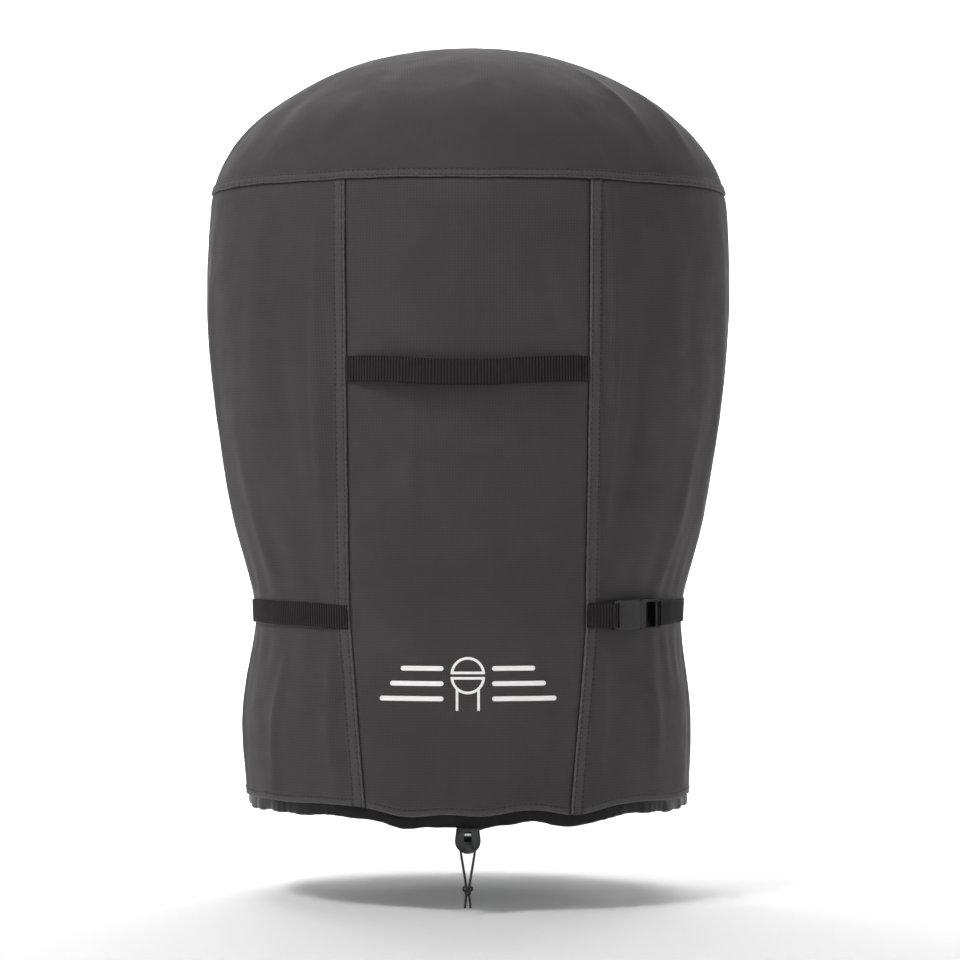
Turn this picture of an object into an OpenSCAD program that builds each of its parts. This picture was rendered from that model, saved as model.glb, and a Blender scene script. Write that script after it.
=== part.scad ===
// Fitted fabric cover for a round kettle grill: a domed crown sewn to four skirt
// panels, two webbing carry handles, a waist belt with a side-release buckle, and
// a drawcord hem closed by a roller cord lock.
//
// Frame: origin at the inside of the crown's apex, +Z up, the front faces -Y.
// Depths are measured downwards from the outside of the apex.

/* [Crown and skirt] */
// Thickness of the coated fabric
cloth = 1.5; // [0.8:0.1:3]
// Half width the dome would reach at its own equator
crown_r = 340; // [270:1:410]
// Rise of the dome above its own equator
crown_rise = 241; // [205:1:290]
// Depth of the crown seam
seam_d = 190; // [155:1:200]
// Radius at the fullest part of the barrel
barrel_r = 339; // [285:1:407]
// Depth of the fullest part of the barrel
barrel_d = 300; // [250:1:360]
// Radius at the waist
waist_r = 276; // [230:1:331]
// Depth of the waist
waist_d = 741; // [660:1:860]
// Radius at the fullest part below the waist
hip_r = 289; // [240:1:346]
// Drop from the waist to the fullest part below it
hip_drop = 129; // [100:1:155]
// Radius at the lower edge of the skirt
hem_r = 286; // [240:1:343]
// Drop from the fullest part below the waist to the lower edge of the skirt
hem_drop = 100; // [80:1:120]

/* [Panels and seams] */
// Half width of the front and rear panels at the crown seam
panel_top = 151; // [125:1:180]
// Half width of the front and rear panels at the waist
panel_waist = 147; // [120:1:176]
// Half width of the front and rear panels at the hem
panel_hem = 127; // [105:1:152]
// Width of a lapped vertical seam
seam_w = 13; // [8:0.5:18]
// Height of the lapped crown seam
crown_seam_w = 10; // [6:0.5:14]
// Extra thickness of a lapped seam
seam_t = 1.2; // [0.6:0.1:2]

/* [Carry handles] */
// Depth of the middle of a handle
handle_d = 423; // [360:1:520]
// Width of the handle webbing
handle_w = 32; // [25:1:40]
// Thickness of the handle webbing
handle_t = 1.6; // [1.2:0.1:2.4]
// How far the middle of a handle stands off the panel
handle_off = 15; // [12:0.5:25]
// Visible length of the sewn tab at each end of a handle
tab_l = 10; // [6:0.5:14]

/* [Waist belt and buckle] */
// Depth of the middle of the belt
belt_d = 727; // [640:1:840]
// Width of the belt webbing
belt_w = 30; // [25:1:36]
// Thickness of the belt webbing
belt_t = 1.6; // [1.2:0.1:2.4]
// Angle of the buckle round the cover from the front, towards +X
buckle_az = 47.5; // [45:0.5:60]
// Width of the buckle beyond the webbing, both sides together
buckle_extra = 7; // [6:0.5:10]
// Thickness of the buckle
buckle_t = 10; // [9:0.5:13]
// Length of the buckle's socket
socket_l = 50; // [46:0.5:60]
// Length of the latch outside the socket
latch_l = 42; // [38:0.5:50]
// Length of webbing tail that lies on the belt behind the latch
tail_l = 26; // [15:1:40]

/* [Hem and drawcord] */
// Height of casing seen below the skirt
casing_drop = 14.5; // [12:0.5:20]
// Height of casing hidden inside the skirt
casing_lap = 12; // [8:0.5:20]
// Diameter of the drawcord
cord_dia = 3; // [2.4:0.1:3.6]
// Half distance between the two strands where they leave the casing
lead_x = 8.5; // [7.5:0.1:10]
// Height of the cord lock
lock_h = 31; // [29:0.5:37]
// Half width of the cord lock
lock_r = 15.8; // [15:0.1:19]
// Thickness of the cord lock
lock_t = 14; // [13:0.5:17]
// Radius of the lock's roller
roller_r = 3.2; // [2.8:0.1:3.6]

/* [Emblem] */
// Depth of the middle of the printed emblem
emblem_d = 809; // [790:1:840]
// Height of the printed emblem
emblem_h = 66; // [50:1:72]

/* [Hidden] */

$fn = 96;
tiny = 0.01;
fit = 0.3;                  // running gap between pieces that move apart
skin = 0.1;                 // gap under a layer that lies on another
reach = crown_r + 100;      // beyond every wall, for cutting shapes

fabric_c = [0.27, 0.265, 0.27];
webbing_c = [0.12, 0.115, 0.12];
plastic_c = [0.08, 0.08, 0.085];
print_c = [0.92, 0.92, 0.9];

hip_d = waist_d + hip_drop;
skirt_h = hip_d + hem_drop;

// ---- Wall outline: depth and outer radius --------------------------------

// Dome: an ellipse, from the apex to the crown seam
crown_steps = 22;
seam_ang = asin((crown_rise - seam_d) / crown_rise);
crown_pts = [for (i = [0 : crown_steps])
    let (a = 90 - (90 - seam_ang) * i / crown_steps)
    [crown_rise - crown_rise * sin(a), crown_r * cos(a)]];
seam_r = crown_r * cos(seam_ang);

// Skirt: smooth curves through its stations, each a depth, a radius and a slope
full_drop = waist_d - barrel_d;
full_step = barrel_r - waist_r;
stations = [
    [seam_d, seam_r, 0.1],
    [barrel_d, barrel_r, 0],
    [barrel_d + 0.3 * full_drop, waist_r + 0.9 * full_step, -0.76 * full_step / full_drop],
    [barrel_d + 0.69 * full_drop, waist_r + 0.47 * full_step, -1.28 * full_step / full_drop],
    [waist_d, waist_r, 0],
    [hip_d, hip_r, 0],
    [skirt_h, hem_r, -0.03]
];
skirt_steps = 6;

function blend(p, q, t) = let (h = q[0] - p[0])
    [p[0] + h * t,
     p[1] * (1 + 2 * t) * pow(1 - t, 2) + q[1] * t * t * (3 - 2 * t)
     + h * (p[2] * t * pow(1 - t, 2) - q[2] * t * t * (1 - t))];

skirt_pts = concat(
    [for (s = [0 : len(stations) - 2]) for (i = [0 : skirt_steps - 1])
        blend(stations[s], stations[s + 1], i / skirt_steps)],
    [[skirt_h, hem_r]]);

function wall_r(d) = lookup(d, skirt_pts);
function level(d) = cloth - d;

// Half width of the front and rear panels at a depth
function panel_x(d) = d < waist_d
    ? panel_top + (panel_waist - panel_top) * (d - seam_d) / (waist_d - seam_d)
    : panel_waist + (panel_hem - panel_waist) * (d - waist_d) / (skirt_h - waist_d);

// Section of a layer that follows the wall between two depths and two offsets
function layer_pts(pts, d0, d1, o0, o1) =
    let (ds = concat([d0], [for (p = pts) if (p[0] > d0 + tiny && p[0] < d1 - tiny) p[0]],
                     [d1]), n = len(ds))
    concat([for (d = ds) [lookup(d, pts) + o1, level(d)]],
           [for (i = [n - 1 : -1 : 0]) [lookup(ds[i], pts) + o0, level(ds[i])]]);

// A layer of the skirt between two angles counted from +X
module layer(d0, d1, o0, o1, a0, a1) {
    rotate([0, 0, a0])
        rotate_extrude(angle = a1 - a0)
            polygon(layer_pts(skirt_pts, d0, d1, o0, o1));
}

// Prism along Y over a strip between two offsets from the front panel's edge
module edge_prism(inner, outer) {
    z0 = level(seam_d) + 1;
    z1 = level(waist_d);
    z2 = level(skirt_h) - 1;
    rotate([90, 0, 0])
        linear_extrude(height = 2 * reach, center = true)
            polygon([[panel_top + inner, z0], [panel_waist + inner, z1],
                     [panel_hem + inner, z2], [panel_hem + outer, z2],
                     [panel_waist + outer, z1], [panel_top + outer, z0]]);
}

// Prism along Y that the front panel fills
module panel_prism() {
    z0 = level(seam_d) + 1;
    z1 = level(waist_d);
    z2 = level(skirt_h) - 1;
    rotate([90, 0, 0])
        linear_extrude(height = reach)
            polygon([[-panel_top, z0], [-panel_waist, z1], [-panel_hem, z2],
                     [panel_hem, z2], [panel_waist, z1], [panel_top, z0]]);
}

// ---- Panels and seams ----------------------------------------------------

module crown_panel() {
    rise_in = crown_rise - cloth;
    seam_in = asin((crown_rise - seam_d) / rise_in);
    color(fabric_c)
        rotate_extrude()
            polygon(concat(
                [for (p = crown_pts) [p[1], level(p[0])]],
                [for (i = [0 : crown_steps])
                    let (a = seam_in + (90 - seam_in) * i / crown_steps)
                    [i == crown_steps ? 0 : (crown_r - cloth) * cos(a),
                     rise_in * sin(a) - rise_in]]));
}

module front_wall() {
    intersection() {
        layer(seam_d, skirt_h, -cloth, 0, -135, -45);
        panel_prism();
    }
}

module side_wall() {
    intersection() {
        layer(seam_d, skirt_h, -cloth, 0, -85, 85);
        edge_prism(0, reach);
    }
}

module front_seam() {
    intersection() {
        layer(seam_d, skirt_h, 0, seam_t, -80, -40);
        edge_prism(0, seam_w);
    }
}

module front_panel() {
    color(fabric_c)
        front_wall();
}

module rear_panel() {
    color(fabric_c)
        rotate([0, 0, 180])
            front_wall();
}

module right_panel() {
    color(fabric_c)
        side_wall();
}

module left_panel() {
    color(fabric_c)
        rotate([0, 0, 180])
            side_wall();
}

module crown_seam() {
    color(fabric_c)
        rotate_extrude()
            polygon(layer_pts(crown_pts, seam_d - crown_seam_w, seam_d, 0, seam_t));
}

module seam_front_right() {
    color(fabric_c)
        front_seam();
}

module seam_front_left() {
    color(fabric_c)
        mirror([1, 0, 0])
            front_seam();
}

module seam_rear_left() {
    color(fabric_c)
        rotate([0, 0, 180])
            front_seam();
}

module seam_rear_right() {
    color(fabric_c)
        mirror([0, 1, 0])
            front_seam();
}

// ---- Printed emblem: a kettle pictogram between short stripes -------------

module pill(l, h) {
    square([l - h, h], center = true);
    for (s = [-1, 1])
        translate([s * (l - h) / 2, 0])
            circle(d = h);
}

module half_ring(r, t) {
    intersection() {
        difference() {
            circle(r);
            circle(r - t);
        }
        translate([-r - 1, 0])
            square([2 * r + 2, r + 1]);
    }
    translate([-r + t / 2, 0])
        square([2 * r - t, t]);
}

module kettle_sign(h) {
    r = 0.32 * h;
    t = 0.05 * h;
    translate([0, 0.15 * h]) {
        translate([0, 0.5 * t])
            half_ring(r, t);
        mirror([0, 1])
            translate([0, 0.5 * t])
                half_ring(r, t);
    }
    for (s = [-1, 1])
        translate([s * 0.2 * h, -0.3 * h])
            square([t, 0.4 * h], center = true);
}

module emblem_sign(h) {
    stripe = 0.09 * h;
    kettle_sign(h);
    for (s = [-1, 1])
        for (i = [-1, 0, 1])
            translate([s * (0.45 * h + (0.5 - 0.1 * i) * h), i * 0.28 * h])
                pill((1 - 0.2 * i) * h, stripe);
}

module printed_emblem() {
    ink = 0.4;
    color(print_c)
        intersection() {
            layer(emblem_d - emblem_h, emblem_d + emblem_h, 0, ink, -125, -55);
            translate([0, 0, level(emblem_d)])
                rotate([90, 0, 0])
                    linear_extrude(height = reach)
                        emblem_sign(emblem_h);
        }
}

// ---- Carry handles -------------------------------------------------------

handle_top = handle_d - handle_w / 2;
handle_base = handle_d + handle_w / 2;
tab_end_ang = asin((panel_x(handle_d) - 1) / wall_r(handle_d));
tab_ang = asin((panel_x(handle_d) - tab_l) / wall_r(handle_d));
strap_x = panel_x(handle_d) - tab_l - 1.4;
strap_wall = max(wall_r(handle_top), wall_r(handle_base)) + fit + skin;
strap_end_y = sqrt(pow(strap_wall, 2) - pow(strap_x, 2));
strap_sag = strap_wall + handle_off - strap_end_y;
strap_r = (pow(strap_x, 2) + pow(strap_sag, 2)) / (2 * strap_sag);
strap_half = asin(strap_x / strap_r);

module handle_strap() {
    translate([0, -(strap_wall + handle_off) + strap_r, level(handle_base)])
        rotate([0, 0, -90 - strap_half])
            rotate_extrude(angle = 2 * strap_half)
                translate([strap_r, 0])
                    square([handle_t, handle_w]);
}

module handle_tab() {
    layer(handle_top, handle_base, 0, handle_t, -90 + tab_ang, -90 + tab_end_ang);
}

module front_handle() {
    color(webbing_c)
        handle_strap();
}

module rear_handle() {
    color(webbing_c)
        rotate([0, 0, 180])
            handle_strap();
}

module front_tab_right() {
    color(webbing_c)
        handle_tab();
}

module front_tab_left() {
    color(webbing_c)
        mirror([1, 0, 0])
            handle_tab();
}

module rear_tab_left() {
    color(webbing_c)
        rotate([0, 0, 180])
            handle_tab();
}

module rear_tab_right() {
    color(webbing_c)
        mirror([0, 1, 0])
            handle_tab();
}

// ---- Waist belt and buckle -----------------------------------------------

belt_top = belt_d - belt_w / 2;
belt_base = belt_d + belt_w / 2;
belt_in = seam_t + skin;
belt_out = belt_in + belt_t;
belt_wall = max(wall_r(belt_top), wall_r(belt_base));  // widest wall under the belt
belt_ang = asin(panel_x(belt_d) / wall_r(belt_d));
buckle_ang = buckle_az - 90;
buckle_w = belt_w + buckle_extra;
buckle_wall = max(wall_r(belt_d - buckle_w / 2), wall_r(belt_d + buckle_w / 2));
buckle_floor = buckle_wall + belt_out + fit + skin;

side_t = 3.2;               // side walls of the socket
face_t = 1.8;               // front and back faces of the socket
mouth_l = 8;                // closed ring at the socket's mouth
window_l = 22;              // open side windows behind the ring
bar_w = 4;                  // bars that carry webbing
slot_w = 5;                 // slots beside those bars
guide_w = 3.2;              // tongue between the two prongs
pull_out = 30;              // travel that frees the latch
squeeze = 0.0098;           // radians that each prong turns for a millimetre of travel
prong_t = buckle_t - 2 * face_t - 1.2;
room = buckle_w / 2 - side_t;
root_r = 3;
root_y = -root_r - fit;
root_z = room - root_r - 1.2;
prong_l = mouth_l + window_l + 2;

// Local axes at the buckle: +X outwards, +Y round the cover away from the front
module at_buckle() {
    rotate([0, 0, buckle_ang])
        translate([buckle_floor, 0, level(belt_d)])
            children();
}

module flat_plate(y0, y1, w, r) {
    translate([0, (y0 + y1) / 2])
        square([w, y1 - y0 - 2 * r], center = true);
    translate([0, (y0 + y1) / 2])
        square([w - 2 * r, y1 - y0], center = true);
    for (x = [-1, 1])
        for (y = [y0 + r, y1 - r])
            translate([x * (w / 2 - r), y])
                circle(r);
}

// A plan drawn with X across the belt and Y along it, raised outwards
module raised(h) {
    rotate([0, -90, 0])
        mirror([0, 0, 1])
            linear_extrude(height = h)
                children();
}

module buckle_socket() {
    bar_y = -socket_l + bar_w;
    color(plastic_c)
        at_buckle()
            difference() {
                raised(buckle_t)
                    difference() {
                        flat_plate(-socket_l, 0, buckle_w, 4);
                        translate([-belt_w / 2 - 0.5, bar_y])
                            square([belt_w + 1, slot_w]);
                    }
                translate([face_t, -prong_l - 2, -room])
                    cube([buckle_t - 2 * face_t, prong_l + 3, 2 * room]);
                translate([face_t, -mouth_l - window_l, -buckle_w])
                    cube([buckle_t - 2 * face_t, window_l, 2 * buckle_w]);
            }
}

module buckle_latch() {
    base_l = 11;
    tail_y = latch_l - bar_w;
    mid_y = tail_y - slot_w - bar_w;
    color(plastic_c)
        at_buckle() {
            raised(buckle_t)
                difference() {
                    flat_plate(fit, latch_l, buckle_w, 4);
                    translate([-belt_w / 2 - 0.5, tail_y - slot_w])
                        square([belt_w + 1, slot_w]);
                    translate([-belt_w / 2 - 0.5, base_l])
                        square([belt_w + 1, mid_y - base_l]);
                }
            translate([face_t + 0.6, -prong_l + 4, -guide_w / 2])
                cube([prong_t, prong_l, guide_w]);
        }
}

// Outer edge of a prong: it stays inside the mouth's ring all the way out
function flank(y) = room - fit
    + 0.7 * squeeze * max(0, y - mouth_l) * (y - root_r - fit);

module prong() {
    peak = mouth_l + window_l - 7;
    arm = 4.2;
    color(plastic_c)
        at_buckle()
            translate([face_t + 0.6, 0, 0]) {
                raised(prong_t)
                    translate([root_z, root_y])
                        circle(root_r);
                raised(prong_t)
                    polygon(concat(
                        [[root_z - 0.8 * root_r, root_y], [root_z + 0.8 * root_r, root_y],
                         [room - fit, root_y - 3]],
                        [for (y = [mouth_l : 3 : peak]) [flank(y), -y]],
                        [[room - fit - 0.5, -prong_l + 0.5], [room - 2, -prong_l],
                         [room - arm, -prong_l + 1.5], [room - arm, -mouth_l - 5]]));
            }
}

module latch_prong_upper() {
    prong();
}

module latch_prong_lower() {
    translate([0, 0, 2 * level(belt_d)])
        mirror([0, 0, 1])
            prong();
}

// Webbing folded round a bar whose near edge is at y
module bar_loop(y) {
    translate([0, y, -belt_w / 2])
        difference() {
            translate([-belt_t, -belt_t - skin, 0])
                cube([buckle_t + 2 * belt_t, bar_w + 2 * belt_t + 2 * skin, belt_w]);
            translate([-skin, -skin, -1])
                cube([buckle_t + 2 * skin, bar_w + 2 * skin, belt_w + 2]);
        }
}

module waist_belt() {
    start = buckle_ang + asin(4 / buckle_floor);
    color(webbing_c)
        layer(belt_top, belt_base, belt_in, belt_out, start, 270 - belt_ang);
}

// Flat webbing drawn in plan from the cover's axis, with +X through the buckle
module flat_webbing() {
    rotate([0, 0, buckle_ang])
        translate([0, 0, level(belt_base)])
            linear_extrude(height = belt_w)
                children();
}

module socket_strap() {
    r0 = belt_wall + belt_in;
    a0 = belt_ang - 90 - buckle_ang;
    sewn = [r0 * cos(a0), r0 * sin(a0)];
    turned = [buckle_floor - belt_t, -socket_l - skin - belt_t / 2];
    across = [belt_t, 0];
    color(webbing_c) {
        flat_webbing()
            polygon([sewn, turned, turned + across, sewn + across]);
        at_buckle()
            bar_loop(-socket_l);
    }
}

module belt_tail() {
    rest_r = belt_wall + belt_out + fit + skin;
    turned = [buckle_floor - belt_t, latch_l + skin + belt_t / 2];
    touch = atan2(turned[1], turned[0]) + acos(rest_r / norm(turned));
    landed = rest_r * [cos(touch), sin(touch)] + 2 * [-sin(touch), cos(touch)];
    across = belt_t * [cos(touch), sin(touch)];
    color(webbing_c) {
        flat_webbing()
            polygon([turned, landed, landed + across, turned + [belt_t, 0]]);
        rotate([0, 0, buckle_ang + touch])
            translate([0, 0, level(belt_base)])
                rotate_extrude(angle = tail_l / rest_r * 180 / PI)
                    translate([rest_r + skin / 2, 0])
                        square([belt_t - skin, belt_w]);
        at_buckle()
            bar_loop(latch_l - bar_w);
    }
}

module keeper() {
    w = 6;
    half = belt_w / 2 + 1;
    foot = 9;
    lap = seam_t + skin;
    over = belt_out + skin;
    up = belt_d - half;
    down = belt_d + half;
    turn = (w / 2) / waist_r * 180 / PI;
    mid = 90 - asin((panel_x(belt_d) + seam_w / 2) / wall_r(belt_d));
    layer(up - foot, up, lap, lap + seam_t, mid - turn, mid + turn);
    layer(up, down, over, over + seam_t, mid - turn, mid + turn);
    layer(down, down + foot, lap, lap + seam_t, mid - turn, mid + turn);
    for (d = [up - seam_t, down])
        layer(d, d + seam_t, lap, over + seam_t, mid - turn, mid + turn);
}

module belt_keeper_right() {
    color(webbing_c)
        keeper();
}

module belt_keeper_left() {
    color(webbing_c)
        mirror([1, 0, 0])
            keeper();
}

// ---- Hem casing and drawcord ---------------------------------------------

casing_t = 1.2;
casing_out = hem_r - cloth - skin;
casing_in = casing_out - cord_dia - 2 * casing_t - 1.6;
casing_top = skirt_h - casing_lap;
casing_base = skirt_h + casing_drop;
cord_r = (casing_out + casing_in) / 2;
bend = 5;                   // radius of the cord's turn out of the casing
cord_d = casing_base - casing_t - bend - 1.5;
ring_ang = asin((lead_x + bend) / cord_r);
lead_pt = [cord_r * sin(ring_ang) - bend * cos(ring_ang),
           -cord_r * cos(ring_ang) - bend * sin(ring_ang)];

module hem_casing() {
    color(plastic_c)
        difference() {
            rotate_extrude()
                difference() {
                    translate([casing_in, level(casing_base)])
                        square([casing_out - casing_in, casing_base - casing_top]);
                    translate([casing_in + casing_t, level(casing_base - casing_t)])
                        square([casing_out - casing_in - 2 * casing_t,
                                casing_drop - 2 * casing_t]);
                }
            for (s = [-1, 1])
                translate([s * lead_pt[0], lead_pt[1], level(casing_base) - 1])
                    cylinder(r = cord_dia / 2 + 0.4, h = casing_t + 2);
        }
}

module drawcord_ring() {
    color(plastic_c)
        translate([0, 0, level(cord_d)])
            rotate([0, 0, -90 + ring_ang])
                rotate_extrude(angle = 360 - 2 * ring_ang)
                    translate([cord_r, 0])
                        circle(d = cord_dia);
}

lock_top = casing_base + 1.5;
exit_drop = lock_h - lock_r + sqrt(pow(lock_r, 2) - pow(lead_pt[0], 2)) + 1;
lead_end = lock_top + exit_drop;

// From the ring's end face, a quarter turn down and then straight through the lock
module lead_right() {
    rotate([0, 0, ring_ang])
        translate([0, -cord_r, level(cord_d + bend)])
            mirror([1, 0, 0])
                rotate([90, 0, 0])
                    rotate_extrude(angle = 90)
                        translate([bend, 0])
                            circle(d = cord_dia);
    translate([lead_pt[0], lead_pt[1], level(lead_end)])
        cylinder(d = cord_dia + 2 * tiny, h = lead_end - cord_d - bend + 0.2);
}

module drawcord_lead_right() {
    color(plastic_c)
        lead_right();
}

module drawcord_lead_left() {
    color(plastic_c)
        mirror([1, 0, 0])
            lead_right();
}

// Free strands: from the lock to the knot and on to their cut ends
knot_drop = 47;             // from the strands' exit to the middle of the knot
tail_drop = 22;             // from the middle of the knot to the cut ends
knot_r = 5.2;

function path_point(k) = let (z0 = level(lead_end))
    k == 0 ? [lead_pt[0], lead_pt[1], z0]
    : k == 1 ? [0.9 * lead_pt[0], lead_pt[1], z0 - 0.14 * knot_drop]
    : k == 2 ? [0.25 * lead_pt[0], lead_pt[1], z0 - 0.88 * knot_drop]
    : k == 3 ? [0.22 * lead_pt[0], lead_pt[1], z0 - 1.12 * knot_drop]
    : [0.4 * lead_pt[0], lead_pt[1] - 0.5, z0 - knot_drop - tail_drop];

// Smooth route through the points, by cubic blending of neighbours
function along(k, t) = let (
    a = path_point(max(k - 1, 0)), b = path_point(k),
    c = path_point(k + 1), e = path_point(min(k + 2, 4)))
    0.5 * ((2 * b) + (c - a) * t + (2 * a - 5 * b + 4 * c - e) * t * t
           + (3 * b - a - 3 * c + e) * t * t * t);

cord_route = concat([for (k = [0 : 3]) for (i = [0 : 3]) along(k, i / 4)],
                    [path_point(4)]);

module free_strand() {
    sides = 10;
    n = len(cord_route);
    polyhedron(
        points = [for (p = cord_route) for (j = [0 : sides - 1])
            p + cord_dia / 2 * [cos(360 * j / sides), sin(360 * j / sides), 0]],
        faces = concat(
            [[for (j = [0 : sides - 1]) j]],
            [for (i = [0 : n - 2]) for (j = [0 : sides - 1])
                let (a = i * sides + j, b = i * sides + (j + 1) % sides)
                [a, a + sides, b + sides, b]],
            [[for (j = [sides - 1 : -1 : 0]) (n - 1) * sides + j]]));
}

module drawcord_right() {
    color(plastic_c)
        free_strand();
}

module drawcord_left() {
    color(plastic_c)
        mirror([1, 0, 0])
            free_strand();
}

module drawcord_knot() {
    color(plastic_c)
        translate([0, lead_pt[1], level(lead_end) - knot_drop]) {
            sphere(r = knot_r);
            rotate([0, 20, 0])
                rotate_extrude()
                    translate([knot_r - 0.6, 0])
                        circle(r = cord_dia / 2 + 0.4);
        }
}

// ---- Cord lock -----------------------------------------------------------

lock_back = 4;              // body behind the cords' line
roller_x = lock_r - 4;
roller_y = -cord_dia / 2 - roller_r - fit;
roller_drop = roller_r + 4.3;
roller_travel = 5.5;

module at_lock() {
    translate([0, lead_pt[1], level(lock_top)])
        children();
}

module cord_lock_body() {
    cavity_x = roller_x + fit;
    cavity_h = 2 * roller_r + roller_travel + 2 * fit;
    front = lock_back - lock_t;
    color(plastic_c)
        at_lock()
            difference() {
                translate([0, lock_back, 0])
                    rotate([90, 0, 0])
                        linear_extrude(height = lock_t)
                            union() {
                                translate([0, lock_r - lock_h])
                                    circle(lock_r);
                                polygon([[-0.89 * lock_r, 0], [-lock_r, lock_r - lock_h],
                                         [lock_r, lock_r - lock_h], [0.89 * lock_r, 0]]);
                            }
                translate([-cavity_x, roller_y - roller_r - fit,
                           -roller_drop + roller_r + fit - cavity_h])
                    cube([2 * cavity_x, 2 * roller_r + fit + cord_dia + 0.6, cavity_h]);
                translate([-4.5, front - 1, -roller_drop + roller_r + fit - cavity_h])
                    cube([9, lock_t / 2, cavity_h]);
                for (s = [-1, 1])
                    translate([s * lead_pt[0], 0, -lock_h - 1])
                        cylinder(r = cord_dia / 2 + fit, h = lock_h + 2);
            }
}

module cord_lock_roller() {
    thumb = 3.9;
    color(plastic_c)
        at_lock()
            translate([0, roller_y, -roller_drop])
                rotate([0, 90, 0]) {
                    cylinder(r = 0.8 * roller_r, h = 2 * roller_x, center = true);
                    cylinder(r = roller_r, h = 2 * thumb, center = true);
                    for (s = [-1, 1])
                        translate([0, 0, s * (roller_x + thumb + 1) / 2])
                            cylinder(r = roller_r, h = roller_x - thumb - 1, center = true);
                }
}

crown_panel();
front_panel();
rear_panel();
left_panel();
right_panel();
crown_seam();
seam_front_left();
seam_front_right();
seam_rear_left();
seam_rear_right();
hem_casing();
drawcord_ring();
drawcord_lead_left();
drawcord_lead_right();
drawcord_left();
drawcord_right();
drawcord_knot();
cord_lock_body();
cord_lock_roller();
front_tab_left();
front_tab_right();
front_handle();
rear_tab_left();
rear_tab_right();
rear_handle();
waist_belt();
socket_strap();
belt_keeper_left();
belt_keeper_right();
buckle_socket();
buckle_latch();
belt_tail();
latch_prong_upper();
latch_prong_lower();
printed_emblem();
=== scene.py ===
"""Fitted cloth cover for a round kettle grill, dressed over its CAD frame.

Each sub-assembly is a class: its sizes are fields, and its methods make the
meshes, give them their finish and hand them to the frame's bodies.
"""

from __future__ import annotations

import logging
import math
from dataclasses import dataclass, field
from enum import Enum
from itertools import product

import bmesh
import bpy
import numpy as np
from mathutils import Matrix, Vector


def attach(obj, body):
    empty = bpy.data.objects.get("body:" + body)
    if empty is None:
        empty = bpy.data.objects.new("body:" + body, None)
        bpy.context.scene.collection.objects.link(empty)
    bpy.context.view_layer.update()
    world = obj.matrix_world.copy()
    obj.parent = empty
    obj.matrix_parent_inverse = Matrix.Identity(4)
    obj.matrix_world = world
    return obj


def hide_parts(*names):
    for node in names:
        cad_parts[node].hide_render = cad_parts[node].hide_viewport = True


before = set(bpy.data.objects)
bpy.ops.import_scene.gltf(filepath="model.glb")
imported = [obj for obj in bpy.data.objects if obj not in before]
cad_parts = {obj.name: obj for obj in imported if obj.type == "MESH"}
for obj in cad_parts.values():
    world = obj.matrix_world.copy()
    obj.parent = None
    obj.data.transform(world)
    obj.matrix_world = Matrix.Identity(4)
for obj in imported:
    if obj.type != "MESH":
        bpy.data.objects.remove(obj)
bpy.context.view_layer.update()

LOG = logging.getLogger("grill_cover")
MM = 0.001
CLOTH_RADIUS = 0.31  # usual radius of the skirt, for the cloth's UV across
UP = np.array([0.0, 0.0, 1.0])


class Body(Enum):
    """Moving bodies of the frame that pieces ride on."""

    COVER = "cover"
    FRONT_HANDLE = "front_handle"
    REAR_HANDLE = "rear_handle"
    LATCH = "latch"
    PRONG_UPPER = "prong_upper"
    PRONG_LOWER = "prong_lower"
    ROLLER = "roller"


class Slot(Enum):
    """Material slots of the record."""

    COVER_FABRIC = "cover_fabric"
    CASING_FABRIC = "casing_fabric"
    WEBBING = "webbing"
    DRAWCORD = "drawcord"
    FITTINGS = "fittings"
    ROLLER = "roller"
    PRINT_INK = "print_ink"


class Face(Enum):
    """Which way a panel or a handle looks: its middle, in degrees from the front."""

    FRONT = 0
    RIGHT = 90
    REAR = 180
    LEFT = 270


# ---- Small helpers -----------------------------------------------------------


def srgb(code: str) -> tuple[float, float, float, float]:
    """Turn an sRGB hex colour into linear RGBA.

    Args:
        code: six hex digits.

    Returns:
        Linear red, green and blue, with alpha 1.
    """
    values = [int(code[i : i + 2], 16) / 255 for i in (0, 2, 4)]
    linear = [v / 12.92 if v <= 0.04045 else ((v + 0.055) / 1.055) ** 2.4 for v in values]
    return (*linear, 1.0)


def add(
    tree: bpy.types.NodeTree, kind: str, inputs: dict | None = None, **settings: object
) -> bpy.types.Node:
    """Add one node to a tree.

    Args:
        tree: the node tree.
        kind: the node's type name.
        inputs: input name or number, to a value or to the socket that feeds it.
        **settings: properties of the node.

    Returns:
        The node.
    """
    node = tree.nodes.new(kind)
    for name, value in settings.items():
        setattr(node, name, value)
    for key, value in (inputs or {}).items():
        if isinstance(value, bpy.types.NodeSocket):
            tree.links.new(value, node.inputs[key])
        else:
            node.inputs[key].default_value = value
    return node


def maths(tree: bpy.types.NodeTree, operation: str, *values: object) -> bpy.types.NodeSocket:
    """Result of one Math node over numbers or sockets."""
    node = add(tree, "ShaderNodeMath", dict(enumerate(values)), operation=operation)
    return node.outputs[0]


def ridges(
    tree: bpy.types.NodeTree, run: bpy.types.NodeSocket, pitch: object
) -> bpy.types.NodeSocket:
    """Rows of rounded ridges from 0 to 1, one in each pitch of the run."""
    turns = maths(tree, "MULTIPLY", maths(tree, "DIVIDE", run, pitch), math.pi)
    return maths(tree, "ABSOLUTE", maths(tree, "SINE", turns))


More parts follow.
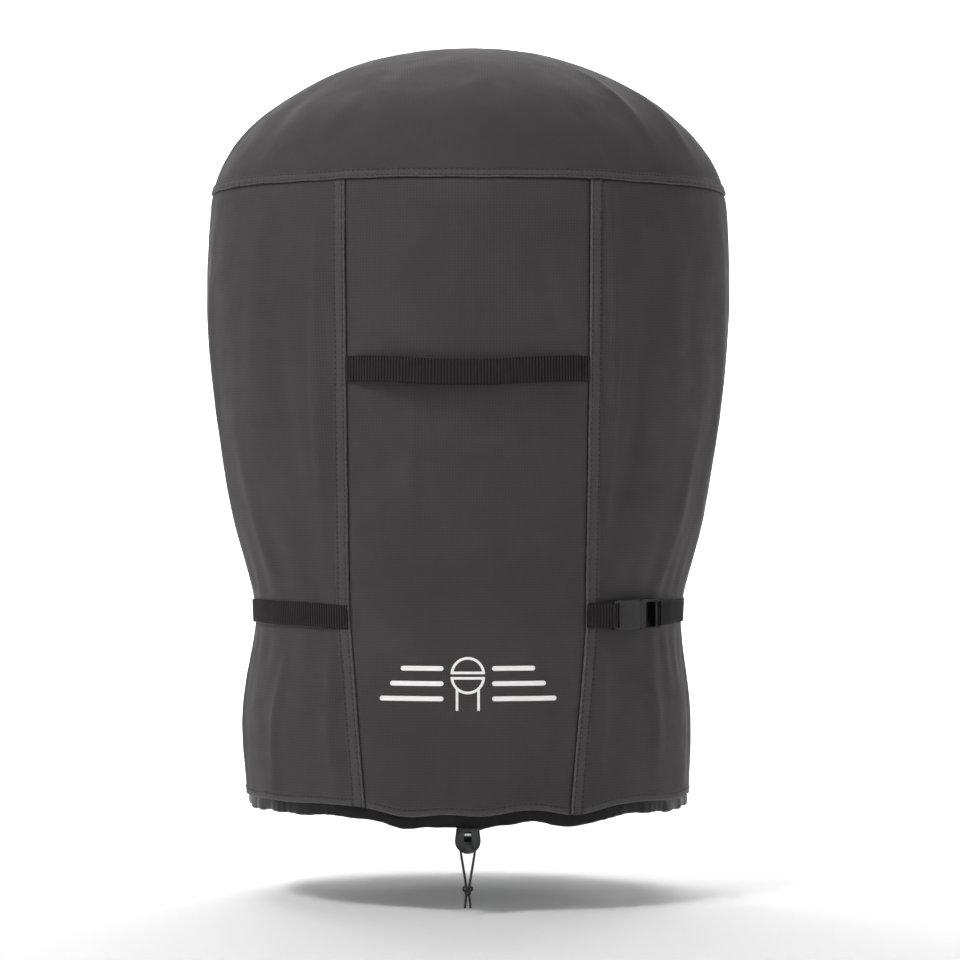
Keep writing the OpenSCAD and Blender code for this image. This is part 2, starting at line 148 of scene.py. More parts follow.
def soft_noise(points: np.ndarray, wavelength: float, seed: int) -> np.ndarray:
    """Smooth noise that runs on without a seam, as a sum of seeded plane waves.

    Args:
        points: places in the row frame, last axis of 3.
        wavelength: usual distance between crests, in metres.
        seed: picks the waves.

    Returns:
        Values of about -1 to 1, one for each point.
    """
    waves = 14
    draw = np.random.default_rng(seed)
    headings = unit(draw.normal(size=(waves, 3)))
    lengths = wavelength * draw.uniform(0.65, 1.5, waves)
    phases = draw.uniform(0, 2 * math.pi, waves)
    total = np.zeros(points.shape[:-1])
    for heading, length, phase in zip(headings, lengths, phases):
        total += np.sin(points @ heading * (2 * math.pi / length) + phase)
    return total / math.sqrt(waves)


def smooth_step(value: np.ndarray, low: float, high: float) -> np.ndarray:
    """Ease from 0 at low to 1 at high."""
    t = np.clip((value - low) / (high - low), 0, 1)
    return t * t * (3 - 2 * t)


def bump_at(value: np.ndarray, middle: float, width: float) -> np.ndarray:
    """A rounded hump of height 1 about a middle, with a half-width."""
    return np.exp(-(((value - middle) / width) ** 2))


def unit(vectors: np.ndarray) -> np.ndarray:
    """Vectors along the last axis, each brought to length 1."""
    return vectors / np.linalg.norm(vectors, axis=-1, keepdims=True)


def run_along(points: np.ndarray) -> np.ndarray:
    """Distance along a line of points, from 0 at its first."""
    steps = np.linalg.norm(np.diff(points, axis=0), axis=1)
    return np.concatenate([[0], np.cumsum(steps)])


def around(azimuth: np.ndarray, radius: np.ndarray, level: np.ndarray) -> np.ndarray:
    """Points about the cover's axis, by angle from the front towards +X."""
    spots = (radius * np.sin(azimuth), -radius * np.cos(azimuth), level)
    return np.stack(np.broadcast_arrays(*spots), axis=-1)


def from_front(azimuth: np.ndarray, middle: float) -> np.ndarray:
    """Degrees from a middle, the short way round, for angles in radians."""
    return (np.degrees(azimuth) - middle + 180) % 360 - 180


def grid_uv(down: np.ndarray, along: np.ndarray) -> np.ndarray:
    """UV pairs of a grid: one number for each row, one for each column."""
    return np.stack(np.broadcast_arrays(down[:, None], along[None, :]), axis=-1)


def grid_faces(rows: int, cols: int, wrap: bool = False, ends: str = "open") -> list:
    """Quads of a grid of rows by cols points, facing down-row cross along-column.

    Args:
        rows: points down.
        cols: points along.
        wrap: whether the last column joins the first.
        ends: "open", "capped" with a flat face, or "joined" into a ring.

    Returns:
        Vertex numbers of each face.
    """
    i, j = np.meshgrid(np.arange(rows - 1), np.arange(cols if wrap else cols - 1), indexing="ij")
    k = (j + 1) % cols
    quads = [i * cols + j, (i + 1) * cols + j, (i + 1) * cols + k, i * cols + k]
    faces = np.stack([q.ravel() for q in quads], axis=1).tolist()
    last = (rows - 1) * cols
    if ends == "capped":
        faces += [list(range(cols)), list(range(last, rows * cols))]
    if ends == "joined":
        span = range(cols if wrap else cols - 1)
        faces += [[last + k, k, (k + 1) % cols, last + (k + 1) % cols] for k in span]
    return faces


def fan(pole: int, first: int, cols: int) -> list:
    """Triangles from a pole to a closed ring of points that starts at first."""
    return [[pole, first + k, first + (k + 1) % cols] for k in range(cols)]


def put(name: str, data: bpy.types.ID) -> bpy.types.Object:
    """Make an object of some data at the origin and put it in the scene."""
    made = bpy.data.objects.new(name, data)
    bpy.context.scene.collection.objects.link(made)
    return made


def make_object(
    name: str,
    points: np.ndarray,
    faces: list,
    uv: np.ndarray | None = None,
    attributes: dict[str, np.ndarray] | None = None,
    closed: bool = False,
) -> bpy.types.Object:
    """Make a smooth mesh object at the origin.

    Args:
        name: the object's name.
        points: vertices in the row frame.
        faces: vertex numbers of each face, or pairs for edges alone.
        uv: one UV pair for each vertex, in metres of cloth.
        attributes: numbers or vectors for each vertex, by name.
        closed: whether it is a closed form whose normals can be recalculated.

    Returns:
        The linked object.
    """
    mesh = bpy.data.meshes.new(name)
    flat = np.asarray(points, float).reshape(-1, 3)
    lines_only = len(faces[0]) == 2
    mesh.from_pydata(flat.tolist(), faces if lines_only else [], [] if lines_only else faces)
    if uv is not None:
        corner = np.empty(len(mesh.loops), np.int32)
        mesh.loops.foreach_get("vertex_index", corner)
        layer = mesh.uv_layers.new(name="cloth")
        pairs = np.asarray(uv, float).reshape(-1, 2)[corner]
        layer.data.foreach_set("uv", pairs.ravel().astype(np.float32))
    for label, values in (attributes or {}).items():
        values = np.asarray(values, np.float32)
        vector = values.size == 3 * len(flat)
        kind, key = ("FLOAT_VECTOR", "vector") if vector else ("FLOAT", "value")
        store = mesh.attributes.new(label, kind, "POINT")
        store.data.foreach_set(key, values.ravel())
    mesh.polygons.foreach_set("use_smooth", [True] * len(mesh.polygons))
    if closed:
        work = bmesh.new()
        work.from_mesh(mesh)
        bmesh.ops.recalc_face_normals(work, faces=work.faces[:])
        work.to_mesh(mesh)
        work.free()
    mesh.update()
    return put(name, mesh)


def settle(piece: bpy.types.Object) -> None:
    """Turn a piece's modifiers into plain mesh and drop them."""
    bpy.context.view_layer.update()
    graph = bpy.context.evaluated_depsgraph_get()
    final = bpy.data.meshes.new_from_object(
        piece.evaluated_get(graph), preserve_all_data_layers=True, depsgraph=graph
    )
    old = piece.data
    piece.modifiers.clear()
    piece.data = final
    bpy.data.meshes.remove(old)
    final.name = piece.name


# ---- Finishes ----------------------------------------------------------------


def noise(
    tree: bpy.types.NodeTree,
    vector: bpy.types.NodeSocket,
    scale: float,
    detail: float,
    **more: float,
) -> bpy.types.NodeSocket:
    """A noise texture's value."""
    inputs = {"Vector": vector, "Scale": scale, "Detail": detail, **more}
    return add(tree, "ShaderNodeTexNoise", inputs).outputs[0]


def remap(
    tree: bpy.types.NodeTree, value: bpy.types.NodeSocket, *limits: float
) -> bpy.types.NodeSocket:
    """A value moved from its low and high limits to new ones, and kept between them."""
    inputs = dict(enumerate((value, *limits)))
    return add(tree, "ShaderNodeMapRange", inputs).outputs[0]


def blend(
    tree: bpy.types.NodeTree, share: object, first: object, second: object, kind: str = "MIX"
) -> bpy.types.NodeSocket:
    """Two colours mixed by a share, each a value or a socket."""
    inputs = {0: share, 6: first, 7: second}
    return add(tree, "ShaderNodeMix", inputs, data_type="RGBA", blend_type=kind).outputs[2]


def emboss(
    tree: bpy.types.NodeTree,
    height: bpy.types.NodeSocket,
    strength: float,
    distance: float,
    **below: bpy.types.NodeSocket,
) -> bpy.types.NodeSocket:
    """A normal raised by a height, over another one if Normal is given."""
    inputs = {"Strength": strength, "Distance": distance, "Height": height, **below}
    return add(tree, "ShaderNodeBump", inputs).outputs[0]


@dataclass(frozen=True)
class Finish:
    """A procedural material: what every finish has.

    drift is how far its roughness wanders, in patches as wide as patch.
    """

    name: str
    colour: str
    roughness: float
    slot: Slot = Slot.COVER_FABRIC
    drift: float = 0.06
    patch: float = 10 * MM

    def material(self) -> bpy.types.Material:
        """The material, made on first use."""
        found = bpy.data.materials.get(self.name)
        if found:
            return found
        made = bpy.data.materials.new(self.name)
        made.use_nodes = True
        tree = made.node_tree
        tree.nodes.clear()
        place = add(tree, "ShaderNodeTexCoord").outputs["Object"]
        inputs = self.paint(tree, place)
        cloud = noise(tree, place, 1 / self.patch, 3.0)
        rough = (self.roughness - self.drift, self.roughness + self.drift)
        inputs["Roughness"] = remap(tree, cloud, 0.3, 0.7, *rough)
        shader = add(tree, "ShaderNodeBsdfPrincipled", inputs)
        add(tree, "ShaderNodeOutputMaterial", {0: shader.outputs[0]})
        return made

    def paint(
        self, tree: bpy.types.NodeTree, place: bpy.types.NodeSocket
    ) -> dict[str, object]:
        """Add the finish's own nodes.

        Args:
            tree: the material's tree.
            place: pattern coordinates in metres.

        Returns:
            The shader's inputs by name: values, or the sockets that feed them.
        """
        raise NotImplementedError

    def mottle(
        self,
        tree: bpy.types.NodeTree,
        place: bpy.types.NodeSocket,
        spread: float,
        size: float,
    ) -> bpy.types.NodeSocket:
        """Colour that drifts by a share of itself, in patches of a size in metres."""
        patches = noise(tree, place, 1 / size, 4.0)
        share = remap(tree, patches, 0.3, 0.7, 1 - spread, 1 + spread)
        return blend(tree, 1.0, srgb(self.colour), share, "MULTIPLY")


@dataclass(frozen=True)
class WovenPolyester(Finish):
    """Coated polyester oxford: a fine basket grid, matt, with a soft sheen."""

    drift: float = 0.07
    patch: float = 35 * MM
    # 600-denier yarn lies about 0.8 mm apart, too fine to show from where the
    # cover is seen whole, so the grid is drawn at 3.6 mm
    yarn_pitch: float = 3.6 * MM
    yarn_depth: float = 0.15 * MM
    crumple_depth: float = 2.2 * MM
    sheen: float = 0.03
    # pale colour of real wear at the hem, also used for painted highlight on the seam laps
    worn: str = "7d7a79"
    # near-black colour of painted shade beside seam folds, under the crown seam and along stitch
    # grooves
    painted_shade: str = "141313"

    def paint(
        self, tree: bpy.types.NodeTree, place: bpy.types.NodeSocket
    ) -> dict[str, object]:
        """Weave from the cloth's own UV, crumples from its place, and fading, painted highlight
        and painted shade from the mesh's attributes.
        """
        uv = add(tree, "ShaderNodeUVMap", uv_map="cloth")
        axes = add(tree, "ShaderNodeSeparateXYZ", {0: uv.outputs[0]}).outputs
        yarns = [ridges(tree, axes[k], self.yarn_pitch) for k in (0, 1)]
        weave = maths(tree, "SMOOTH_MIN", *yarns, 0.4)
        lit = remap(tree, weave, 0.0, 0.7, 0.86, 1.07)
        woven = blend(tree, 1.0, self.mottle(tree, place, 0.07, 90 * MM), lit, "MULTIPLY")
        # paler where the cloth is worn, and where a highlight is painted on the seam laps' bands
        # and folded edges
        wear_and_highlight = add(tree, "ShaderNodeAttribute", attribute_name="wear_and_highlight").outputs["Fac"]
        rubbed = maths(tree, "MULTIPLY", wear_and_highlight, noise(tree, place, 420.0, 2.0))
        worn_and_highlit = blend(tree, rubbed, woven, srgb(self.worn))
        # painted shade from a mesh attribute: dark lines beside seam folds and along stitch
        # grooves
        painted_shade = add(tree, "ShaderNodeAttribute", attribute_name="painted_shade").outputs["Fac"]
        folds = noise(tree, place, 26.0, 5.0, Roughness=0.55)
        crumple = emboss(tree, folds, 0.45, self.crumple_depth)
        return {
            "Base Color": blend(tree, painted_shade, worn_and_highlit, srgb(self.painted_shade)),
            "Normal": emboss(tree, weave, 0.5, self.yarn_depth, Normal=crumple),
            "Specular IOR Level": 0.12,
            "Sheen Weight": self.sheen,
            "Sheen Roughness": 0.45,
        }


@dataclass(frozen=True)
class RubberCoating(Finish):
    """Polyurethane coat on the cloth's back: smooth, darker, faintly shiny creases."""

    drift: float = 0.08
    patch: float = 40 * MM

    def paint(
        self, tree: bpy.types.NodeTree, place: bpy.types.NodeSocket
    ) -> dict[str, object]:
        """Cloudy film with small creases."""
        creases = noise(tree, place, 45.0, 6.0, Distortion=0.6)
        return {
            "Base Color": self.mottle(tree, place, 0.1, 60 * MM),
            "Normal": emboss(tree, creases, 0.4, 0.8 * MM),
        }


@dataclass(frozen=True)
class RibbedWebbing(Finish):
    """Woven polypropylene webbing: painted shade in the valleys, a painted highlight on the
    ribs, dry yarn.
    """

    patch: float = 15 * MM
    rib_pitch: float = 4 * MM
    # colour of the painted highlight on the ribs' crests
    crest_highlight: str = "484546"

    def paint(
        self, tree: bpy.types.NodeTree, place: bpy.types.NodeSocket
    ) -> dict[str, object]:
        """Ribs across the strap from its own UV as painted highlight and painted shade, with
        yarn between its edges.
        """
        uv = add(tree, "ShaderNodeUVMap", uv_map="cloth").outputs[0]
        axes = add(tree, "ShaderNodeSeparateXYZ", {0: uv}).outputs
        yarn = noise(tree, uv, 900.0, 3.0)
        # painted highlight on each rib's crest, fading to painted shade in the valleys between
        lit = maths(tree, "MULTIPLY", ridges(tree, axes[0], self.rib_pitch), yarn)
        # yarns of 0.5 mm cross the ribs; drawn at 1.6 mm so that they show
        waves = {"Vector": uv, "Scale": 100.0, "Distortion": 1.0}
        strand = add(tree, "ShaderNodeTexWave", waves, bands_direction="Y")
        return {
            "Base Color": blend(tree, lit, srgb(self.colour), srgb(self.crest_highlight)),
            "Normal": emboss(tree, strand.outputs[1], 0.5, 0.2 * MM),
            "Specular IOR Level": 0.05,
        }


@dataclass(frozen=True)
class BraidedCord(Finish):
    """Round braided polyester cord: slanting strands that catch the light."""

    drift: float = 0.05
    # a 3 mm braid has picks of about 1 mm, drawn at 2 mm along so that they show
    pick: float = 2 * MM

    def paint(
        self, tree: bpy.types.NodeTree, place: bpy.types.NodeSocket
    ) -> dict[str, object]:
        """Two slanting waves over the cord's own UV."""
        uv = add(tree, "ShaderNodeUVMap", uv_map="cloth")
        axes = add(tree, "ShaderNodeSeparateXYZ", {0: uv.outputs[0]}).outputs
        run = maths(tree, "MULTIPLY", axes[0], 2 * math.pi / self.pick)
        slants = [maths(tree, "MULTIPLY_ADD", axes[1], turns, run) for turns in (4.0, -4.0)]
        braid = maths(tree, "MULTIPLY", *(maths(tree, "SINE", slant) for slant in slants))
        tint = remap(tree, braid, -1.0, 1.0, 0.7, 1.4)
        return {
            "Base Color": blend(tree, 1.0, srgb(self.colour), tint, "MULTIPLY"),
            "Normal": emboss(tree, braid, 0.8, 0.3 * MM),
        }


@dataclass(frozen=True)
class MouldedAcetal(Finish):
    """Injection-moulded acetal: black, satin, edges rubbed a little lighter."""

    patch: float = 6 * MM
    rubbed: str = "4a4a4c"

    def paint(
        self, tree: bpy.types.NodeTree, place: bpy.types.NodeSocket
    ) -> dict[str, object]:
        """Spark-eroded grain, with edges picked out by their curvature."""
        edge = add(tree, "ShaderNodeNewGeometry").outputs["Pointiness"]
        worn = remap(tree, edge, 0.52, 0.62, 0.0, 0.55)
        body = self.mottle(tree, place, 0.12, 8 * MM)
        return {
            "Base Color": blend(tree, worn, body, srgb(self.rubbed)),
            "Normal": emboss(tree, noise(tree, place, 1500.0, 2.0), 0.3, 0.08 * MM),
            "Specular IOR Level": 0.3,
        }


@dataclass(frozen=True)
class PlatedSteel(Finish):
    """Nickel-plated steel: bright, turned, with fine rings and scuffs."""

    patch: float = 4 * MM

    def paint(
        self, tree: bpy.types.NodeTree, place: bpy.types.NodeSocket
    ) -> dict[str, object]:
        """Turning marks along the roller and light scuffs."""
        waves = {"Vector": place, "Scale": 300.0, "Distortion": 0.4}
        rings = add(tree, "ShaderNodeTexWave", waves, bands_direction="X")
        return {
            "Base Color": self.mottle(tree, place, 0.08, 3 * MM),
            "Normal": emboss(tree, rings.outputs[1], 0.3, 0.1 * MM),
            "Metallic": 1.0,
        }


@dataclass(frozen=True)
class SpunThread(Finish):
    """Twisted polyester sewing thread: small, dark, slightly silky."""

    drift: float = 0.08

    def paint(
        self, tree: bpy.types.NodeTree, place: bpy.types.NodeSocket
    ) -> dict[str, object]:
        """Ply twist as a fine bump."""
        return {
            "Base Color": self.mottle(tree, place, 0.25, 12 * MM),
            "Normal": emboss(tree, noise(tree, place, 2200.0, 1.0), 0.5, 0.1 * MM),
        }


@dataclass(frozen=True)
class ScreenInk(Finish):
    """Screen-printed plastisol ink: off-white, satin, broken by the weave below."""

    drift: float = 0.05
    patch: float = 20 * MM
    weave_pitch: float = 2.6 * MM

    def paint(
        self, tree: bpy.types.NodeTree, place: bpy.types.NodeSocket
    ) -> dict[str, object]:
        """Ink film that lets the cloth's grid show through."""
        uv = add(tree, "ShaderNodeUVMap", uv_map="cloth").outputs[0]
        grid = add(tree, "ShaderNodeTexChecker", {"Vector": uv, "Scale": 2 / self.weave_pitch})
        return {
            "Base Color": self.mottle(tree, place, 0.05, 25 * MM),
            "Normal": emboss(tree, grid.outputs[1], 0.35, 0.1 * MM),
        }


@dataclass(frozen=True)
class StudioPaper(Finish):
    """Seamless white paper roll of a studio."""

    drift: float = 0.02
    patch: float = 0.5

    def paint(
        self, tree: bpy.types.NodeTree, place: bpy.types.NodeSocket
    ) -> dict[str, object]:
        """Nearly even white with the faintest tooth."""
        return {
            "Base Color": self.mottle(tree, place, 0.004, 0.8),
            "Specular IOR Level": 0.1,
        }


# dark grey outer cloth: matt, a faint grid, pale where it is rubbed and where a highlight is
# painted on the seam laps, darkened by painted shade beside seam folds and along stitch grooves
OXFORD = WovenPolyester("coated_oxford_cloth", "444142", 0.78)
# waterproof coat inside the cover: smoother and darker than the outside
COATING = RubberCoating("polyurethane_coat", "2a2a2b", 0.5)
# thin black cloth of the hem's casing: closer weave, a little shinier
BINDING = WovenPolyester(
    "woven_casing_cloth",
    "1b1a1b",
    0.45,
    Slot.CASING_FABRIC,
    yarn_pitch=2.4 * MM,
    crumple_depth=1.6 * MM,
    sheen=0.05,
    worn="3a3839",
)
# black straps: a painted highlight on the crests of the ribs shows as grey lines
WEBBING = RibbedWebbing("ribbed_polypropylene_webbing", "0d0c0c", 0.75, Slot.WEBBING)
# black cord with a braid that glints
CORD = BraidedCord("braided_polyester_cord", "232122", 0.55, Slot.DRAWCORD)
# black satin buckle and lock, with paler edges
ACETAL = MouldedAcetal("moulded_acetal", "111112", 0.4, Slot.FITTINGS)
# the one bright spot: the lock's roller
STEEL = PlatedSteel("nickel_plated_steel", "cfd0d0", 0.24, Slot.ROLLER)
# stitches, darker than the cloth they hold
THREAD = SpunThread("spun_polyester_thread", "121111", 0.6)
# white sign on the front
INK = ScreenInk("screen_printed_ink", "fbfbf7", 0.6, Slot.PRINT_INK)
# white surroundings
PAPER = StudioPaper("white_paper_roll", "fdfdfd", 0.95)


def dress(
    piece: bpy.types.Object,
    finish: Finish,
    *nodes: str,
    body: Body = Body.COVER,
    lining: Finish | None = None,
) -> bpy.types.Object:
    """Give a finished piece its materials and hand it to its body.

    Args:
        piece: the object, at the origin.
        finish: its finish.
        *nodes: CAD nodes it stands for.
        body: what it moves with.
        lining: the finish of its inner face, where it has one.

    Returns:
        The piece.
    """
    piece.data.materials.clear()
    for coat in (finish, lining):
        if coat:
            piece.data.materials.append(coat.material())
    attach(piece, body.value)
    if nodes:
        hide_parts(*nodes)
    LOG.info("%s: %d faces on %s", piece.name, len(piece.data.polygons), body.value)
    return piece


# ---- The cover's form --------------------------------------------------------


@dataclass(frozen=True)
class Outline:
    """Half-outline of the cover, from the crown's top down to the hem."""

    cloth: float = 1.5 * MM
    crown_r: float = 340 * MM
    crown_rise: float = 241 * MM
    seam_depth: float = 190 * MM
    barrel: tuple[float, float] = (300 * MM, 339 * MM)
    waist: tuple[float, float] = (741 * MM, 276 * MM)
    hip: tuple[float, float] = (870 * MM, 289 * MM)
    hem: tuple[float, float] = (970 * MM, 286 * MM)
    panel_top: float = 151 * MM
    panel_waist: float = 147 * MM
    panel_hem: float = 127 * MM

    def stations(self) -> np.ndarray:
        """Depth, radius and slope that the skirt's outline runs through."""
        drop = self.waist[0] - self.barrel[0]
        step = self.barrel[1] - self.waist[1]
        pitch = step / drop
        lean = (self.crown_rise - self.seam_depth) / self.crown_rise
        top = self.crown_r * math.sqrt(1 - lean * lean)
        depth, radius = self.barrel
        return np.array(
            [
                (self.seam_depth, top, 0.1),
                (*self.barrel, 0.0),
                (depth + 0.3 * drop, radius - 0.1 * step, -0.76 * pitch),
                (depth + 0.69 * drop, radius - 0.53 * step, -1.28 * pitch),
                (*self.waist, 0.0),
                (*self.hip, 0.0),
                (*self.hem, -0.03),
            ]
        )

    def radius(self, depth: np.ndarray) -> np.ndarray:
        """Radius of the cloth's outer face.

        Args:
            depth: depth below the crown's top, in metres.

        Returns:
            Radius at each depth, in metres.
        """
        depth = np.asarray(depth, float)
        lean = np.clip((self.crown_rise - depth) / self.crown_rise, -1, 1)
        crown = self.crown_r * np.sqrt(1 - lean * lean)
        knots = self.stations()
        cell = np.searchsorted(knots[:, 0], depth, side="right") - 1
        cell = np.clip(cell, 0, len(knots) - 2)
        low, high = knots[cell], knots[cell + 1]
        width = high[..., 0] - low[..., 0]
        t = (depth - low[..., 0]) / width
        skirt = (
            (1 + 2 * t) * (1 - t) ** 2 * low[..., 1]
            + t * (1 - t) ** 2 * width * low[..., 2]
            + t * t * (3 - 2 * t) * high[..., 1]
            + t * t * (t - 1) * width * high[..., 2]
        )
        return np.where(depth < self.seam_depth, crown, skirt)

    def edge_x(self, depth: np.ndarray) -> np.ndarray:
        """Half-width of the front and rear panels at a depth."""
        waist, hem = self.waist[0], self.hem[0]
        rise = (depth - self.seam_depth) / (waist - self.seam_depth)
        fall = (depth - waist) / (hem - waist)
        upper = self.panel_top + rise * (self.panel_waist - self.panel_top)
        lower = self.panel_waist + fall * (self.panel_hem - self.panel_waist)
        return np.where(depth < waist, upper, lower)

    def edge_azimuth(self, depth: np.ndarray, extra: float = 0.0) -> np.ndarray:
        """Angle from the panel's middle to its edge, plus extra metres of cloth."""
        return np.arcsin((self.edge_x(depth) + extra) / self.radius(depth))


@dataclass(frozen=True)
class Fold:
    """One soft ridge or hollow in the cloth.

    azimuth and depth give its middle, in degrees from the front and in mm below
    the crown's top. lean turns its top towards larger azimuths, in degrees. run
    and width are its half sizes and height its rise, in mm. A skew from -1 to 1
    makes one flank steeper.
    """

    azimuth: float
    depth: float
    lean: float
    run: float
    width: float
    height: float
    skew: float = 0.0


@dataclass(frozen=True)
class Sag:
    """A stretch of hem that hangs lower: azimuth and half-width in degrees, drop in mm."""

    azimuth: float
    width: float
    drop: float


@dataclass
class Drape:
    """The cover's surface with its folds: turns angles and depths into places."""

    outline: Outline = field(default_factory=Outline)
    belt_depth: float = 727 * MM
    hem_high: float = 961 * MM
    # the hem's depth where most of it hangs, which the sheets are cut to
    hem_usual: float = 966 * MM
    fold_gain: float = 1.35
    folds: tuple[Fold, ...] = (
        Fold(2, 289, 41, 62, 17, -2.4, 0.4),
        Fold(18, 335, -18, 56, 15, -2.2, -0.3),
        Fold(-15, 262, 12, 50, 22, 1.3),
        Fold(-13, 545, 4, 58, 12, 2.6, 0.5),
        Fold(-8, 500, -14, 40, 14, -1.6),
        Fold(4, 520, 70, 26, 12, 2.2),
        Fold(10, 585, -24, 60, 16, -2.0),
        Fold(-20, 640, -6, 70, 12, 1.6),
        Fold(16, 690, 5, 60, 12, 1.4),
        Fold(-35, 430, 3, 190, 13, 3.2, 0.6),
        Fold(-43, 520, -4, 150, 15, -2.6),
        Fold(-52, 360, 6, 120, 22, 2.0),
        Fold(-62, 600, -8, 110, 18, 2.2),
        Fold(33, 400, -2, 200, 12, 4.0, -0.7),
        Fold(40, 460, 4, 150, 14, -3.0),
        Fold(50, 360, -6, 120, 20, 2.2),
        Fold(60, 600, 8, 110, 18, 2.4, 0.4),
        Fold(75, 470, -5, 170, 22, 2.6),
        Fold(-78, 450, 5, 180, 22, 2.6, 0.3),
        Fold(98, 560, 4, 150, 18, -2.6),
        Fold(-100, 540, -6, 150, 20, 2.4, 0.4),
        Fold(118, 420, -7, 160, 20, 2.8, -0.4),
        Fold(-122, 430, 8, 170, 18, -2.4),
        Fold(138, 540, 4, 150, 14, 2.8, 0.5),
        Fold(-140, 520, -4, 160, 14, 2.8, -0.5),
        Fold(160, 520, 24, 60, 16, -2.2),
        Fold(180, 560, -14, 70, 16, 2.0),
        Fold(-163, 330, 30, 60, 16, -2.0),
        Fold(172, 300, -40, 60, 16, -2.2),
        Fold(-37, 845, -3, 85, 12, 3.6, 0.4),
        Fold(-24, 820, 10, 60, 14, -1.8),
        Fold(-5.5, 915, 2, 45, 9, 2.6),
        Fold(11.5, 885, -4, 60, 10, 2.6, 0.3),
        Fold(22, 900, 6, 50, 10, -2.0),
        Fold(36, 850, 4, 80, 12, 3.0, -0.4),
        Fold(55, 860, -4, 80, 14, 3.2),
        Fold(-58, 870, 4, 80, 14, 3.0, 0.4),
        Fold(80, 850, 5, 80, 16, -2.6),
        Fold(-84, 860, -5, 80, 14, 3.0),
        Fold(104, 850, -4, 90, 14, 3.2, 0.4),
        Fold(-108, 850, 4, 90, 16, -2.6),
        Fold(130, 870, 3, 80, 12, 2.8),
        Fold(-133, 860, -3, 80, 12, 3.2, -0.4),
        Fold(158, 890, 4, 60, 12, 2.4),
        Fold(-170, 880, -6, 60, 12, -2.4),
        Fold(46, 75, -3, 75, 16, 3.0, 0.5),
        Fold(62, 95, 5, 65, 15, 2.6, 0.4),
        Fold(30, 125, -8, 45, 16, -1.8),
        Fold(-58, 95, -4, 70, 22, -2.6),
        Fold(-35, 110, 6, 50, 20, 1.6),
        Fold(-82, 120, 5, 60, 16, 2.4),
        Fold(95, 110, -6, 60, 18, -2.2),
        Fold(120, 90, 5, 70, 18, 2.6, -0.4),
        Fold(-125, 100, -5, 70, 18, 2.4, 0.4),
        Fold(155, 110, 8, 60, 18, -2.0),
        Fold(-160, 80, -8, 60, 18, 2.2),
    )
    sags: tuple[Sag, ...] = (
        Sag(-15, 9, 11.5),
        Sag(3, 10, 10.5),
        Sag(28, 9, 11.5),
        Sag(-52, 8, 1.8),
        Sag(-74, 9, 3.5),
        Sag(66, 10, 3.5),
        Sag(92, 10, 4.5),
        Sag(-100, 10, 4.0),
        Sag(124, 11, 5.5),
        Sag(-130, 11, 5.0),
        Sag(158, 12, 8.5),
        Sag(-172, 12, 9.0),
        Sag(-155, 8, 5.0),
    )

    def __post_init__(self) -> None:
        """Measure the outline once, from the top down."""
        line = self.outline
        lean = (line.crown_rise - line.seam_depth) / line.crown_rise
        angle = np.linspace(0, 1, 400) * math.acos(lean)
        crown = line.crown_rise * (1 - np.cos(angle))
        skirt = np.linspace(line.seam_depth, 1.01, 1200)[1:]
        self.depths = np.concatenate([crown, skirt])
        self.radii = self.outline.radius(self.depths)
        steps = np.hypot(np.diff(self.depths), np.diff(self.radii))
        self.runs = np.concatenate([[0], np.cumsum(steps)])
        slope_r = np.gradient(self.radii, self.runs)
        slope_d = np.gradient(self.depths, self.runs)
        slope_r[0], slope_d[0] = 1.0, 0.0
        self.slopes = slope_r, slope_d

    def run_at(self, depth: np.ndarray) -> np.ndarray:
        """Distance down the cloth from the crown's top to a depth."""
        return np.interp(depth, self.depths, self.runs)

    def depth_at(self, run: np.ndarray) -> np.ndarray:
        """Depth below the crown's top at a distance down the cloth."""
        return np.interp(run, self.runs, self.depths)

    def hem_depth(self, azimuth: np.ndarray) -> np.ndarray:
        """Depth of the hem's edge at each azimuth, in radians."""
        depth = np.full(np.shape(azimuth), self.hem_high)
        for sag in self.sags:
            away = from_front(azimuth, sag.azimuth)
            depth = depth + sag.drop * MM * bump_at(away, 0, sag.width)
        return depth

    def fold_height(
        self, azimuth: np.ndarray, run: np.ndarray, radius: np.ndarray
    ) -> np.ndarray:
        """Height of the large folds alone, at angles, distances down and radii."""
        height = np.zeros(np.shape(run))
        for fold in self.folds:
            across = np.radians(from_front(azimuth, fold.azimuth)) * radius / MM
            along = (run - self.run_at(fold.depth * MM)) / MM
            turn = math.radians(fold.lean)
            side = (across * math.cos(turn) + along * math.sin(turn)) / fold.width
            down = along * math.cos(turn) - across * math.sin(turn)
            shape = np.exp(-(side**2)) * (1 + fold.skew * np.tanh(2.5 * side))
            fade = np.exp(-np.abs(down / fold.run) ** 2.6)
            height += self.fold_gain * fold.height * MM * shape * fade
        return height

    def relief(self, azimuth: np.ndarray, run: np.ndarray) -> np.ndarray:
        """How far the cloth stands off its smooth outline.

        Args:
            azimuth: angle from the front towards +X, in radians.
            run: distance down the cloth, in metres.

        Returns:
            Height along the outward normal, in metres.
        """
        azimuth, run = np.broadcast_arrays(azimuth, run)
        line = self.outline
        depth = self.depth_at(run)
        radius = np.interp(run, self.runs, self.radii)
        spot = around(azimuth, radius, -depth)
        height = 0.9 * MM * soft_noise(spot, 0.22, 3)
        height += 0.35 * MM * (1 - np.abs(soft_noise(spot, 0.11, 8)))
        height += 0.14 * MM * soft_noise(spot, 0.035, 5)
        height += self.fold_height(azimuth, run, radius)
        # angle from the nearer of the front and the rear
        folded = np.abs((azimuth + math.pi) % (2 * math.pi) - math.pi)
        folded = np.minimum(folded, math.pi - folded)
